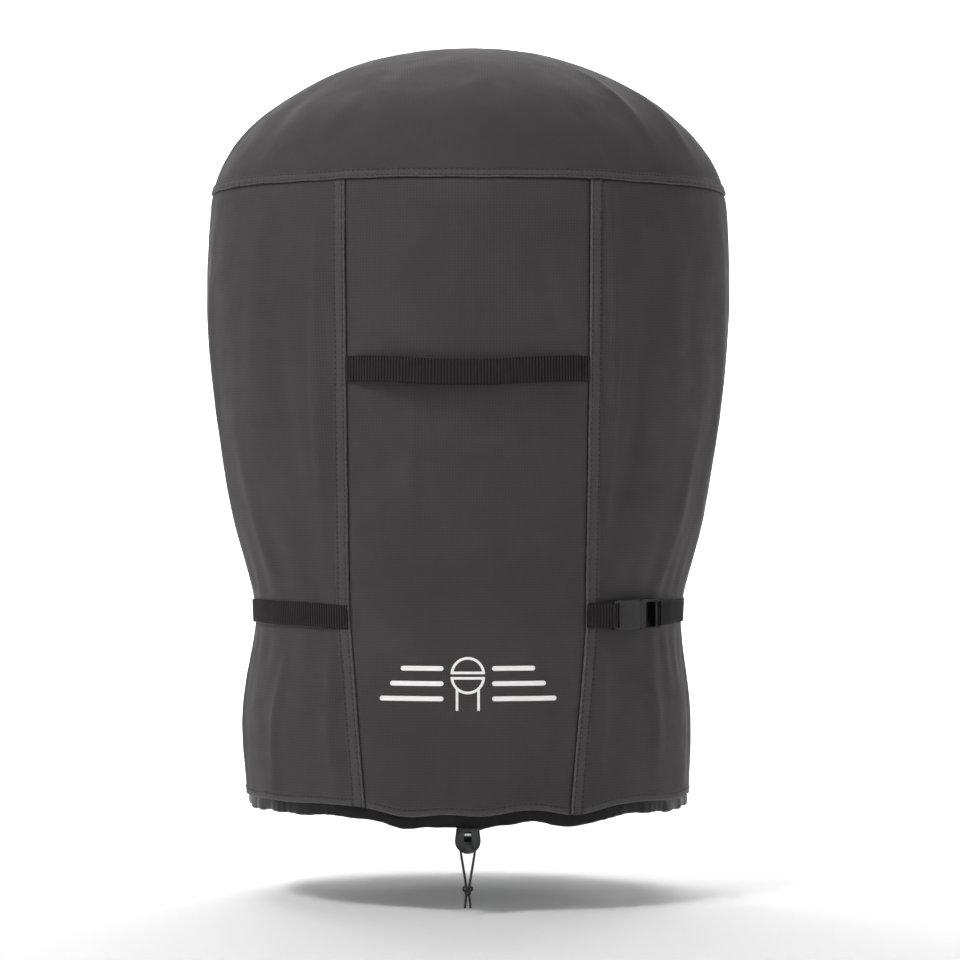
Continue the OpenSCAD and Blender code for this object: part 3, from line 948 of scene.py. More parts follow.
        # gathers beside the belt, which holds the cloth flat under itself
        belted = smooth_step(folded * radius, 0.150, 0.165)
        near_belt = bump_at(depth, self.belt_depth, 26 * MM)
        gathers = np.sin(azimuth * 41 + 2.2 * np.sin(azimuth * 5.3))
        swell = bump_at(depth, self.belt_depth, 75 * MM)
        height = height + 1.1 * MM * gathers * swell * belted * (1 - near_belt)
        height = height * (1 - 0.97 * near_belt * belted)
        # the sewing flattens the cloth and puckers it
        edge = line.edge_azimuth(np.maximum(depth, line.seam_depth))
        stitched = bump_at(np.abs(folded - edge) * radius, 0, 16 * MM)
        stitched = stitched * (depth > line.seam_depth)
        height = height * (1 - 0.65 * stitched)
        pucker = np.sin(run / (13 * MM) * 2 * math.pi + 3 * np.sin(run * 40))
        height = height + 0.22 * MM * pucker * stitched
        ring = bump_at(depth, line.seam_depth, 14 * MM)
        ripple = np.sin(azimuth * 120 + 4 * np.sin(azimuth * 7))
        height = height * (1 - 0.7 * ring) + 0.25 * MM * ripple * ring
        # a shallow swag under the crown seam, on the front and rear panels
        swag = bump_at(depth, 218 * MM, 16 * MM)
        height = height + 1.4 * MM * swag * (1 - smooth_step(folded, 0.33, 0.43))
        # the hem flares in waves and is thicker where it is turned up
        to_edge = self.hem_depth(azimuth) - depth
        low = depth > 0.8
        flare = np.exp(-np.maximum(to_edge, 0) / (38 * MM)) * low
        wave = np.sin(azimuth * 17 + 1.6 * np.sin(azimuth * 3))
        turned_up = (1 - smooth_step(to_edge, 9 * MM, 11 * MM)) * low
        return height + 1.3 * MM * flare * wave + 0.5 * MM * turned_up

    def place(
        self,
        azimuth: np.ndarray,
        run: np.ndarray,
        out: np.ndarray | float = 0.0,
        relief: float = 1.0,
    ) -> np.ndarray:
        """Places on the cover.

        Args:
            azimuth: angle from the front towards +X, in radians.
            run: distance down the cloth from the crown's top, in metres.
            out: distance off the cloth's outer face, in metres.
            relief: share of the folds that is followed.

        Returns:
            Points in the row frame.
        """
        azimuth, run, out = np.broadcast_arrays(azimuth, run, out)
        lift = out + relief * self.relief(azimuth, run)
        radius = np.interp(run, self.runs, self.radii)
        slope_r, slope_d = (np.interp(run, self.runs, slope) for slope in self.slopes)
        level = self.outline.cloth - self.depth_at(run) + lift * slope_r
        return around(azimuth, radius + lift * slope_d, level)


# ---- Geometry Nodes ----------------------------------------------------------


def open_tree(
    name: str, numbers: tuple[str, ...]
) -> tuple[bpy.types.NodeTree, bpy.types.bpy_prop_collection]:
    """Start a tree that takes a shape, some numbers and a material.

    Args:
        name: the tree's name.
        numbers: names of its number inputs.

    Returns:
        The tree and the sockets of its inputs.
    """
    tree = bpy.data.node_groups.new(name, "GeometryNodeTree")
    face = tree.interface
    face.new_socket("Shape", in_out="INPUT", socket_type="NodeSocketGeometry")
    for label in numbers:
        face.new_socket(label, in_out="INPUT", socket_type="NodeSocketFloat")
    face.new_socket("Material", in_out="INPUT", socket_type="NodeSocketMaterial")
    face.new_socket("Made", in_out="OUTPUT", socket_type="NodeSocketGeometry")
    return tree, add(tree, "NodeGroupInput").outputs


def close_tree(
    tree: bpy.types.NodeTree, shape: bpy.types.NodeSocket, material: bpy.types.NodeSocket
) -> None:
    """Realize a tree's instances, shade them smooth, dye them and put them out."""
    real = add(tree, "GeometryNodeRealizeInstances", {0: shape})
    smooth = add(tree, "GeometryNodeSetShadeSmooth", {0: real.outputs[0]})
    inputs = {0: smooth.outputs[0], "Material": material}
    dyed = add(tree, "GeometryNodeSetMaterial", inputs)
    add(tree, "NodeGroupOutput", {0: dyed.outputs[0]})


def stored(
    tree: bpy.types.NodeTree, name: str, kind: str = "FLOAT_VECTOR"
) -> bpy.types.NodeSocket:
    """Socket of a named attribute."""
    return add(
        tree, "GeometryNodeInputNamedAttribute", {"Name": name}, data_type=kind
    ).outputs[0]


def grow(
    piece: bpy.types.Object, tree: bpy.types.NodeTree, values: dict[str, object]
) -> None:
    """Run a tree over a piece and keep the result as plain mesh.

    Args:
        piece: the object.
        tree: the node tree.
        values: its inputs by name, set by each socket's identifier.
    """
    modifier = piece.modifiers.new(tree.name, "NODES")
    modifier.node_group = tree
    for item in tree.interface.items_tree:
        if item.name in values:
            modifier[item.identifier] = values[item.name]
    settle(piece)


@dataclass
class StitchRows:
    """Sewing: evenly spaced stitches along given lines, by Geometry Nodes."""

    # sewn at about 4 mm with 0.6 mm thread, drawn a little coarser so that they show
    pitch: float = 6.6 * MM
    length: float = 4.4 * MM
    width: float = 1.6 * MM
    height: float = 0.9 * MM

    def tree(self) -> bpy.types.NodeTree:
        """The node tree, made once: lines in, stitches out."""
        found = bpy.data.node_groups.get("stitch_rows")
        if found:
            return found
        sizes = ("Pitch", "Stitch length", "Stitch width", "Stitch height")
        tree, given = open_tree("stitch_rows", sizes)
        line = add(tree, "GeometryNodeMeshToCurve", {0: given["Shape"]})
        inputs = {"Curve": line.outputs[0], "Length": given["Pitch"]}
        spaced = add(tree, "GeometryNodeResampleCurve", inputs, mode="LENGTH")
        along = add(tree, "GeometryNodeInputTangent")
        inputs = {0: along.outputs[0], 1: stored(tree, "upward")}
        axes = {"primary_axis": "X", "secondary_axis": "Z"}
        turn = add(tree, "FunctionNodeAxesToRotation", inputs, **axes)
        inputs = {k: given[label] for k, label in enumerate(sizes[1:])}
        size = add(tree, "ShaderNodeCombineXYZ", inputs)
        inputs = {"Segments": 6, "Rings": 4, "Radius": 0.5}
        bead = add(tree, "GeometryNodeMeshUVSphere", inputs)
        inputs = {
            "Points": spaced.outputs[0],
            "Instance": bead.outputs[0],
            "Rotation": turn.outputs[0],
            "Scale": size.outputs[0],
        }
        placed = add(tree, "GeometryNodeInstanceOnPoints", inputs)
        close_tree(tree, placed.outputs[0], given["Material"])
        return tree

    def sew(
        self, name: str, lines: list[tuple[np.ndarray, np.ndarray]]
    ) -> bpy.types.Object:
        """Sew one piece's stitches.

        Args:
            name: the piece's name.
            lines: for each row, its points and the cloth's outward direction there.

        Returns:
            A plain mesh object of all the stitches.
        """
        points, upward = (np.concatenate(part) for part in zip(*lines))
        edges, start = [], 0
        for row, _ in lines:
            edges += [(start + k, start + k + 1) for k in range(len(row) - 1)]
            start += len(row)
        piece = make_object(name, points, edges, attributes={"upward": upward})
        sizes = {
            "Pitch": self.pitch,
            "Stitch length": self.length,
            "Stitch width": self.width,
            "Stitch height": self.height,
        }
        grow(piece, self.tree(), {**sizes, "Material": THREAD.material()})
        return piece


@dataclass
class Ribbon:
    """Ribbed webbing laid along a path: a flat strap with ribs by Geometry Nodes."""

    width: float = 32 * MM
    thickness: float = 1.6 * MM
    rib_pitch: float = 4 * MM
    rib_height: float = 0.45 * MM
    across: int = 9

    def tree(self) -> bpy.types.NodeTree:
        """The node tree, made once: raises ribs across a flat strap."""
        found = bpy.data.node_groups.get("webbing_ribs")
        if found:
            return found
        tree, given = open_tree("webbing_ribs", ("Rib pitch", "Rib height"))
        rib = ridges(tree, stored(tree, "along", "FLOAT"), given["Rib pitch"])
        rise = maths(tree, "MULTIPLY", rib, given["Rib height"])
        inputs = {0: stored(tree, "lift"), "Scale": rise}
        shift = add(tree, "ShaderNodeVectorMath", inputs, operation="SCALE")
        inputs = {0: given["Shape"], "Offset": shift.outputs[0]}
        moved = add(tree, "GeometryNodeSetPosition", inputs)
        close_tree(tree, moved.outputs[0], given["Material"])
        return tree

    def lay(
        self, name: str, path: np.ndarray, up: np.ndarray, out: np.ndarray
    ) -> bpy.types.Object:
        """Lay the strap along a path.

        Args:
            name: the piece's name.
            path: middle of the strap's thickness, close points in metres.
            up: direction across the strap's width at each point.
            out: direction of its outer face at each point.

        Returns:
            A plain mesh object.
        """
        half, thick = self.width / 2, self.thickness / 2
        inset = half * (1 - 0.25 * self.thickness / half)
        span = np.linspace(-inset, inset, self.across)
        flat = np.ones(self.across)
        wide = np.concatenate([span, [half], span[::-1], [-half]])
        side = np.concatenate([flat, [0], -flat, [0]])
        edge = np.clip(1.15 - (np.abs(wide) / half) ** 6, 0, 1)
        outward = out[:, None, :] * side[None, :, None]
        points = path[:, None, :] + up[:, None, :] * wide[None, :, None] + outward * thick
        rows, cols = points.shape[:2]
        uv = grid_uv(run_along(path), wide)
        marks = {"along": uv[..., 0].ravel(), "lift": outward * edge[None, :, None]}
        faces = grid_faces(rows, cols, wrap=True, ends="capped")
        piece = make_object(name, points, faces, uv, marks, closed=True)
        sizes = {"Rib pitch": self.rib_pitch, "Rib height": self.rib_height}
        grow(piece, self.tree(), {**sizes, "Material": WEBBING.material()})
        return piece


def tube(
    name: str, path: np.ndarray, radius: float, sides: int = 16, closed: bool = False
) -> bpy.types.Object:
    """A round cord along a path, with UV in metres along and radians round.

    Args:
        name: the piece's name.
        path: its ring centres.
        radius: half its thickness.
        sides: points in each ring.
        closed: whether the last ring joins the first.

    Returns:
        The mesh object.
    """
    path = np.asarray(path, float)
    ahead, behind = np.roll(path, -1, 0), np.roll(path, 1, 0)
    heading = unit(ahead - behind if closed else np.gradient(path, axis=0))
    side = np.cross(heading, [0.0, -1.0, 0.0])
    weak = np.linalg.norm(side, axis=1) < 1e-3
    side[weak] = np.cross(heading[weak], [0.0, 0.0, 1.0])
    side = unit(side)
    for k in range(1, len(path)):
        side[k] = unit(side[k - 1] - heading[k] * (side[k - 1] @ heading[k]))
    other = np.cross(heading, side)
    turn = np.linspace(0, 2 * math.pi, sides, endpoint=False)
    ring = side[:, None, :] * np.cos(turn)[None, :, None]
    ring = ring + other[:, None, :] * np.sin(turn)[None, :, None]
    ends = "joined" if closed else "capped"
    faces = grid_faces(len(path), sides, wrap=True, ends=ends)
    uv = grid_uv(run_along(path), turn)
    return make_object(name, path[:, None, :] + radius * ring, faces, uv, closed=True)


def through(points: list[tuple[float, ...]], step: float) -> np.ndarray:
    """A smooth line through given points.

    Args:
        points: places in metres.
        step: distance between the line's own points.

    Returns:
        The line's points, evenly spaced.
    """
    knots = np.asarray(points, float)
    ends = np.vstack([2 * knots[0] - knots[1], knots, 2 * knots[-1] - knots[-2]])
    line = []
    for a, b, c, d in zip(ends, ends[1:], ends[2:], ends[3:]):
        square, cube = 2 * a - 5 * b + 4 * c - d, 3 * b - a - 3 * c + d
        for t in np.linspace(0, 1, 24, endpoint=False):
            line.append(0.5 * (2 * b + (c - a) * t + square * t**2 + cube * t**3))
    line = np.array(line + [knots[-1]])
    run = run_along(line)
    even = np.linspace(0, run[-1], max(2, round(run[-1] / step) + 1))
    return np.stack([np.interp(even, run, line[:, k]) for k in range(3)], axis=1)


# ---- Sub-assemblies ----------------------------------------------------------


@dataclass
class Studio:
    """Camera, lights and paper roll."""

    distance: float = 5.0
    eye_level: float = -0.5575
    aside: float = 0.015
    lens: float = 144.2
    floor: float = -1.092
    backdrop: float = 6.8

    def camera(self) -> None:
        """Stand the camera level in front of the cover."""
        data = bpy.data.cameras.new("camera")
        data.lens = self.lens
        data.sensor_width = 36
        camera = put("camera", data)
        camera.location = (self.aside, -self.distance, self.eye_level)
        camera.rotation_euler = (math.radians(90), 0, 0)
        bpy.context.scene.camera = camera

    def paper(self) -> None:
        """Round floor that curves up into a wall all about the cover."""
        bend = 1.4
        turn = np.linspace(0, math.pi / 2, 20)
        far = self.backdrop
        radius = np.concatenate([[0.05, 2.0], far - bend + bend * np.sin(turn), [far]])
        level = np.concatenate([[0, 0], bend * (1 - np.cos(turn)), [7.0]]) + self.floor
        cols = 96
        angle = np.linspace(0, 2 * math.pi, cols, endpoint=False)
        wall = around(angle[None, :], radius[:, None], level[:, None])
        points = np.vstack([wall.reshape(-1, 3), [[0, 0, self.floor]]])
        faces = grid_faces(len(radius), cols, wrap=True)
        faces += fan(len(points) - 1, 0, cols)
        paper = make_object("paper_roll", points, faces)
        paper.data.materials.append(PAPER.material())

    def lamp(
        self,
        name: str,
        spot: tuple[float, float, float],
        aim: tuple[float, float, float],
        size: tuple[float, float],
        power: float,
    ) -> None:
        """Hang one softbox.

        Args:
            name: its name.
            spot: where it hangs.
            aim: what it points at.
            size: width and height in metres.
            power: watts.
        """
        data = bpy.data.lights.new(name, "AREA")
        data.shape = "RECTANGLE"
        data.size, data.size_y = size
        data.energy = power
        lamp = put(name, data)
        lamp.location = spot
        way = Vector(aim) - Vector(spot)
        lamp.rotation_euler = way.to_track_quat("-Z", "Y").to_euler()
        lamp.visible_camera = False

    def light(self) -> None:
        """Soft even daylight from above and in front."""
        middle = (0.0, 0.0, -0.45)
        self.lamp("key_softbox", (-1.6, -2.0, 2.4), middle, (1.1, 0.9), 70)
        self.lamp("fill_softbox", (1.6, -4.2, 0.1), middle, (2.0, 2.0), 9)
        paper = (0.0, self.backdrop, -0.5)
        self.lamp("paper_softbox_left", (-2.6, 4.4, 2.0), paper, (1.8, 1.8), 130)
        self.lamp("paper_softbox_right", (2.6, 4.4, 2.0), paper, (1.8, 1.8), 130)
        self.lamp("floor_softbox", (0.0, 2.6, 2.6), (0.0, 2.6, 0.0), (3.2, 3.2), 150)
        world = bpy.data.worlds.new("studio_air")
        world.use_nodes = True
        sky = world.node_tree.nodes["Background"]
        sky.inputs[0].default_value = srgb("ffffff")
        sky.inputs[1].default_value = 0.07
        bpy.context.scene.world = world
        bpy.context.scene.view_settings.view_transform = "Standard"

    def build(self) -> None:
        """Set the studio up."""
        self.camera()
        self.paper()
        self.light()


@dataclass
class Drawcord:
    """Round cord in the hem: its ring, two leads, two strands and their knot."""

    diameter: float = 3 * MM
    ring_radius: float = 280.9 * MM
    lead_x: float = 8.5 * MM
    bend: float = 5 * MM
    exit: tuple[float, float, float] = (8.506 * MM, -280.816 * MM, -1014.02 * MM)
    knot: tuple[float, float, float] = (0.0, -280.82 * MM, -1061.02 * MM)
    knot_size: float = 1.95 * MM
    strand: tuple[tuple[float, float, float], ...] = (
        (8.506, -280.816, -1014.02),
        (8.463, -280.816, -1014.54),
        (8.426, -280.816, -1015.13),
        (8.217, -280.816, -1016.81),
        (7.655, -280.816, -1020.60),
        (6.478, -280.816, -1027.86),
        (4.854, -280.816, -1037.69),
        (3.247, -280.816, -1047.67),
        (2.126, -280.816, -1055.38),
        (1.650, -280.804, -1059.73),
        (1.558, -280.784, -1062.17),
        (1.686, -280.781, -1064.03),
        (1.871, -280.816, -1066.66),
        (2.164, -280.917, -1070.77),
        (2.621, -281.066, -1075.54),
        (3.085, -281.214, -1079.96),
        (3.402, -281.316, -1083.02),
    )

    def strands(self) -> None:
        """The two free strands, which hang from the lock and end below the knot."""
        turns = np.linspace(0, 2 * math.pi, 90, endpoint=False)
        loop = np.stack(
            [
                np.sin(turns) + 2 * np.sin(2 * turns),
                1.25 * np.sin(3 * turns),
                np.cos(turns) - 2 * np.cos(2 * turns),
            ],
            axis=1,
        )
        route = np.array(self.knot) + loop * self.knot_size
        knot = tube("strand_knot", route, self.diameter / 2, 12, closed=True)
        dress(knot, CORD, "drawcord_knot")
        for side, name in ((-1, "left"), (1, "right")):
            route = [(side * x * MM, y * MM, z * MM) for x, y, z in self.strand]
            path = through(route, 1.2 * MM)
            piece = tube(f"strand_{name}", path, self.diameter / 2)
            dress(piece, CORD, f"drawcord_{name}")

    def ring(self, drape: Drape) -> None:
        """The cord's run inside the casing and its two leads into the lock."""
        gap = (self.lead_x + self.bend) / self.ring_radius
        azimuth = np.linspace(gap, 2 * math.pi - gap, 300)
        depth = drape.hem_depth(azimuth) + 9.5 * MM
        path = around(azimuth, self.ring_radius, drape.outline.cloth - depth)
        turn = np.linspace(0, math.pi / 2, 7)[1:]
        for side in (1, -1):
            path = path[::-1]
            x, y, z = path[-1]
            across = x - side * self.bend * np.sin(turn)
            level = z - self.bend * (1 - np.cos(turn))
            bent = np.column_stack([across, np.full(len(turn), y), level])
            way_out = (side * self.exit[0], self.exit[1], self.exit[2])
            lead = np.linspace(bent[-1], way_out, 14)[1:]
            path = np.vstack([path, bent, lead])
        piece = tube("drawcord_run", path, self.diameter / 2, 12)
        dress(piece, CORD, "drawcord_ring", "drawcord_lead_left", "drawcord_lead_right")

    def build(self, drape: Drape) -> None:
        """Make the cords."""
        self.strands()
        self.ring(drape)


@dataclass
class ClothPanels:
    """Crown and four skirt panels of coated cloth."""

    drape: Drape
    thickness: float = 1.0 * MM
    mesh_step: float = 4.6 * MM
    tuck: float = 5 * MM

    def shell(self, piece: bpy.types.Object) -> None:
        """Give a sheet its thickness, with the coating on its inner face."""
        solid = piece.modifiers.new("cloth_thickness", "SOLIDIFY")
        solid.thickness = self.thickness
        solid.offset = -1
        solid.use_even_offset = False
        solid.material_offset = 1

    def crown(self) -> bpy.types.Object:
        """The domed crown, one sheet with its pole closed."""
        rows, cols = 84, 420
        end = self.drape.run_at(self.drape.outline.seam_depth)
        runs = np.linspace(0, end, rows)[1:]
        azimuth = np.linspace(0, 2 * math.pi, cols, endpoint=False)
        body = self.drape.place(azimuth[None, :], runs[:, None])
        top = self.drape.place(np.array(0.0), np.array(0.0)).reshape(1, 3)
        points = np.vstack([body.reshape(-1, 3), top])
        flat = around(azimuth[None, :], runs[:, None], 0.0)[..., :2]
        uv = np.vstack([flat.reshape(-1, 2), [[0, 0]]])
        faces = grid_faces(rows - 1, cols, wrap=True)
        faces += fan(len(points) - 1, 0, cols)
        piece = make_object("crown_cloth", points, faces, uv)
        self.shell(piece)
        return piece

    def panel(self, name: str, face: Face) -> bpy.types.Object:
        """One skirt panel from the crown seam down to the hem.

        Args:
            name: the piece's name.
            face: which panel.

        Returns:
            The sheet.
        """
        line = self.drape.outline
        narrow = face in (Face.FRONT, Face.REAR)
        fold = float(self.drape.run_at(line.seam_depth))
        reach = float(self.drape.run_at(self.drape.hem_usual)) - fold
        near_top = np.array([-4, -1, 0.3, 0.9, 1.7, 2.7, 4, 6]) * MM
        near_hem = reach - np.array([14, 11.5, 10, 9, 8, 7, 5, 3, 1.6, 0.7, 0]) * MM
        body = np.linspace(10 * MM, reach - 18 * MM, int(reach / self.mesh_step))
        down = np.concatenate([near_top, body, near_hem])[:, None] / reach
        depth = np.maximum(self.drape.depth_at(fold + down * reach), line.seam_depth)
        if narrow:
            near_fold = np.array([7, 5.5, 4.2, 3.1, 2.2, 1.4, 0.7, 0, -1.5]) * MM
            near_fold = np.append(near_fold, -self.tuck)
            share = np.linspace(-1, 1, int(0.29 / self.mesh_step))
            inner = line.edge_azimuth(depth, -9 * MM)
            sides = [line.edge_azimuth(depth, -gap) for gap in near_fold]
            mirrored = [-turn for turn in sides[::-1]]
            azimuth = np.hstack([*mirrored, inner * share[None, :], *sides])
        else:
            half = math.pi / 2 - line.edge_azimuth(depth, 1 * MM)
            azimuth = half * np.linspace(-1, 1, int(0.72 / self.mesh_step))[None, :]
        from_fold = (line.edge_azimuth(depth) - np.abs(azimuth)) * line.radius(depth)
        azimuth = azimuth + math.radians(face.value)
        bottom = self.drape.run_at(self.drape.hem_depth(azimuth))
        run = fold + down * (bottom - fold)
        tucked = 1.2 * MM * (1 - smooth_step(from_fold, -2 * MM, 9 * MM))
        out = -1.1 * MM * (1 - smooth_step(run, fold + 1 * MM, fold + 10 * MM))
        out = np.minimum(out, -tucked) if narrow else out
        points = self.drape.place(azimuth, run, out)
        uv = np.stack([azimuth * CLOTH_RADIUS, run], -1)
        to_edge = bottom - run
        wear_and_highlight = 0.55 * bump_at(to_edge, 0, 1.2 * MM)
        wear_and_highlight = wear_and_highlight + 0.2 * (1 - smooth_step(to_edge, 8.5 * MM, 11 * MM))
        # painted shade: a dark line just under the crown seam's fold, and a faint one along the
        # hem's stitch groove
        painted_shade = 0.8 * (1 - smooth_step(run, fold + 0.5 * MM, fold + 4.5 * MM))
        painted_shade = painted_shade + 0.3 * bump_at(to_edge, 8 * MM, 1 * MM)
        # painted shadow cast by the side panels' folded edges on the front and rear panels
        if narrow:
            painted_shade = np.maximum(painted_shade, 0.85 * (1 - smooth_step(from_fold, 0.8 * MM, 4 * MM)))
        marks = {"wear_and_highlight": wear_and_highlight.ravel(), "painted_shade": painted_shade.ravel()}
        piece = make_object(name, points, grid_faces(*azimuth.shape), uv, marks)
        self.shell(piece)
        return piece

    def build(self) -> dict[str, bpy.types.Object]:
        """Make the crown and the panels.

        Returns:
            The sheets by CAD node.
        """
        sheets = {
            "crown_panel": self.crown(),
            "front_panel": self.panel("front_cloth", Face.FRONT),
            "rear_panel": self.panel("rear_cloth", Face.REAR),
            "left_panel": self.panel("left_cloth", Face.LEFT),
            "right_panel": self.panel("right_cloth", Face.RIGHT),
        }
        for node, piece in sheets.items():
            dress(piece, OXFORD, node, lining=COATING)
        return sheets


@dataclass
class Seams:
    """Lapped seams: the raised folded edges over the cloth and their stitches."""

    drape: Drape
    lap_width: float = 13.5 * MM
    crown_lap: float = 10.5 * MM
    lap_height: float = 1.8 * MM
    rows: tuple[float, float] = (2.6 * MM, 12 * MM)
    crown_rows: tuple[float, float] = (2.4 * MM, 9.6 * MM)

    def lap_profile(self, width: float) -> tuple[np.ndarray, ...]:
        """Cross-section of a lap.

        Args:
            width: from the fold to where it runs out.

        Returns:
            Distances from the fold, heights over the cloth, then how much wear and painted
            highlight, and how much painted shade, each point gets.
        """
        high = self.lap_height
        away = np.array(
            [-0.2, -0.1, 0.25, 0.9, 1.9, 2.6, 3.4, 5.5, 8.0, 10.5, 11.6, 12.2, 13, 14.5, 17]
        )
        rise = np.array(
            [-0.5, 0.45, 0.9, 1.05, 0.95, 0.78, 0.95, 1, 1, 0.95, 0.8, 0.7, 0.6, 0.3, -0.3]
        )
        # painted highlight across the lap's band, and wear on its folded edge raised into a
        # painted highlight
        band = np.where((away > 0.5) & (away < 13), 0.2, 0.0)
        rubbed = band + 0.75 * bump_at(away, 0, 0.8)
        # painted shade in the grooves of the two stitch rows
        painted_groove_shade = 0.25 * (bump_at(away, 2.6, 0.6) + bump_at(away, 12.2, 0.7))
        return away * MM * width / (13.5 * MM), rise * high, rubbed, painted_groove_shade

    def over_laps(self, azimuth: np.ndarray) -> np.ndarray:
        """1 where the crown's fold rides over a vertical lap, down to 0 beside it."""
        line = self.drape.outline
        edge = line.edge_azimuth(np.array(line.seam_depth), 7 * MM)
        folded = np.minimum(azimuth, 2 * math.pi - azimuth)
        folded = np.minimum(folded, math.pi - folded)
        return bump_at((folded - edge) * line.radius(line.seam_depth), 0, 11 * MM)

    def lap(
        self,
        name: str,
        azimuth: np.ndarray,
        run: np.ndarray,
        out: np.ndarray,
        marks: tuple[np.ndarray, np.ndarray],
        ring: bool = False,
    ) -> bpy.types.Object:
        """Make a lap from its outer face, closed by a hidden strip behind it.

        Args:
            name: the piece's name.
            azimuth: angles of its grid, in radians.
            run: distances down the cloth, in metres.
            out: heights over the cloth, in metres.
            marks: its wear and painted highlight, and its painted shade, across its width.
            ring: whether it goes all round and joins itself.

        Returns:
            The lap.
        """
        back = [-1, 0]
        hidden = self.drape.place(azimuth[:, back], run[:, back], -1.0 * MM)
        points = np.hstack([self.drape.place(azimuth, run, out), hidden])
        rows, cols = points.shape[:2]
        uv = np.stack([azimuth * CLOTH_RADIUS, run], -1)
        uv = np.hstack([uv, uv[:, back]])
        wear_and_highlight = np.tile(np.append(marks[0], [0, 0]), (rows, 1))
        # painted shade along the stitch grooves, and on the hidden strip behind
        painted_shade = np.tile(np.append(marks[1], [0, 0.8]), (rows, 1))
        # painted shadow of the crown's fold across the top of a vertical lap
        if not ring:
            fold = self.drape.run_at(self.drape.outline.seam_depth)
            below = 1 - smooth_step(uv[..., 1], fold + 1 * MM, fold + 4 * MM)
            painted_shade = np.maximum(painted_shade, 0.8 * below)
        faces = grid_faces(rows, cols, wrap=True, ends="joined" if ring else "capped")
        return make_object(name, points, faces, uv, {"wear_and_highlight": wear_and_highlight, "painted_shade": painted_shade}, closed=True)

    def vertical(self, name: str, middle: float, side: int) -> bpy.types.Object:
        """One seam from the crown to the hem.

        Args:
            name: the piece's name.
            middle: azimuth of the panel's middle, in radians.
            side: 1 towards larger azimuths, -1 towards smaller.

        Returns:
            The lap.
        """
        line = self.drape.outline
        away, rise, rubbed, painted_groove_shade = self.lap_profile(self.lap_width)
        top = self.drape.run_at(line.seam_depth - 6 * MM)
        runs = np.linspace(0, 1, 300)[:, None]
        end = self.drape.run_at(self.drape.hem_usual + 1.2 * MM)
        usual = top + runs * (end - top)
        depth = np.maximum(self.drape.depth_at(usual), line.seam_depth)
        radius = line.radius(depth)
        azimuth = middle + side * np.arcsin((line.edge_x(depth) + away) / radius)
        bottom = self.drape.run_at(self.drape.hem_depth(azimuth))
        run = top + runs * (bottom - top)
        wave = np.sin(run / (11 * MM) * 2 * math.pi + 2 * np.sin(run * 55))
        quilt = bump_at(away, 7 * MM, 3.6 * MM)[None, :]
        flutter = bump_at(away, 0, 1.8 * MM)[None, :]
        drift = np.sin(run * 71 + 1.3) * np.sin(run * 23)
        out = rise[None, :] + 0.2 * MM * wave * quilt + 0.25 * MM * drift * flutter
        return self.lap(name, azimuth, run, out, (rubbed, painted_groove_shade))

    def crown_ring(self) -> bpy.types.Object:
        """The crown's folded edge, all round over the skirt's top."""
        away, rise, rubbed, painted_groove_shade = self.lap_profile(self.crown_lap)
        fold = self.drape.run_at(self.drape.outline.seam_depth)
        azimuth = np.linspace(0, 2 * math.pi, 720, endpoint=False)[:, None]
        wander = 0.6 * MM * np.sin(azimuth * 9 + 1) + 0.35 * MM * np.sin(azimuth * 31)
        run = fold + wander - away[None, :]
        wave = np.sin(azimuth * 170 + 3 * np.sin(azimuth * 13))
        quilt = bump_at(away, 5.6 * MM, 2.8 * MM)[None, :]
        ride = self.over_laps(azimuth) * smooth_step(rise, 0, self.lap_height)[None, :]
        out = 0.75 * (rise[None, :] + 0.18 * MM * wave * quilt) + 1.3 * MM * ride
        azimuth = np.broadcast_to(azimuth, run.shape)
        return self.lap("crown_lap", azimuth, run, out, (rubbed, painted_groove_shade), ring=True)

    def row(
        self, azimuth: np.ndarray, run: np.ndarray, out: float | np.ndarray
    ) -> tuple[np.ndarray, np.ndarray]:
        """A stitch row's points and the outward direction at each."""
        points = self.drape.place(azimuth, run, out)
        lifted = self.drape.place(azimuth, run, np.asarray(out) + 1 * MM)
        return points, unit(lifted - points)

    def stitch_lines(self) -> list[tuple[np.ndarray, np.ndarray]]:
        """Every stitch row of the cover's seams and hem."""
        line = self.drape.outline
        lines = []
        sunk = 0.8 * self.lap_height + 0.1 * MM
        t = np.linspace(0, 1, 500)
        top = self.drape.run_at(line.seam_depth + 2 * MM)
        end = self.drape.run_at(self.drape.hem_usual - 4 * MM)
        depth = self.drape.depth_at(top + t * (end - top))
        for middle, side, offset in product((0.0, math.pi), (-1, 1), self.rows):
            turn = np.arcsin((line.edge_x(depth) + offset) / line.radius(depth))
            azimuth = middle + side * turn
            bottom = self.drape.run_at(self.drape.hem_depth(azimuth)) - 2 * MM
            lines.append(self.row(azimuth, top + t * (bottom - top), sunk))
        azimuth = np.linspace(0, 2 * math.pi, 1500)
        fold = self.drape.run_at(line.seam_depth)
        wander = 0.6 * MM * np.sin(azimuth * 9 + 1)
        out = 0.75 * sunk + 1.2 * MM * self.over_laps(azimuth)
        for offset in self.crown_rows:
            lines.append(self.row(azimuth, fold + wander - offset, out))
        run = self.drape.run_at(self.drape.hem_depth(azimuth) - 8 * MM)
        lines.append(self.row(azimuth, run, 0.35 * MM))
        return lines

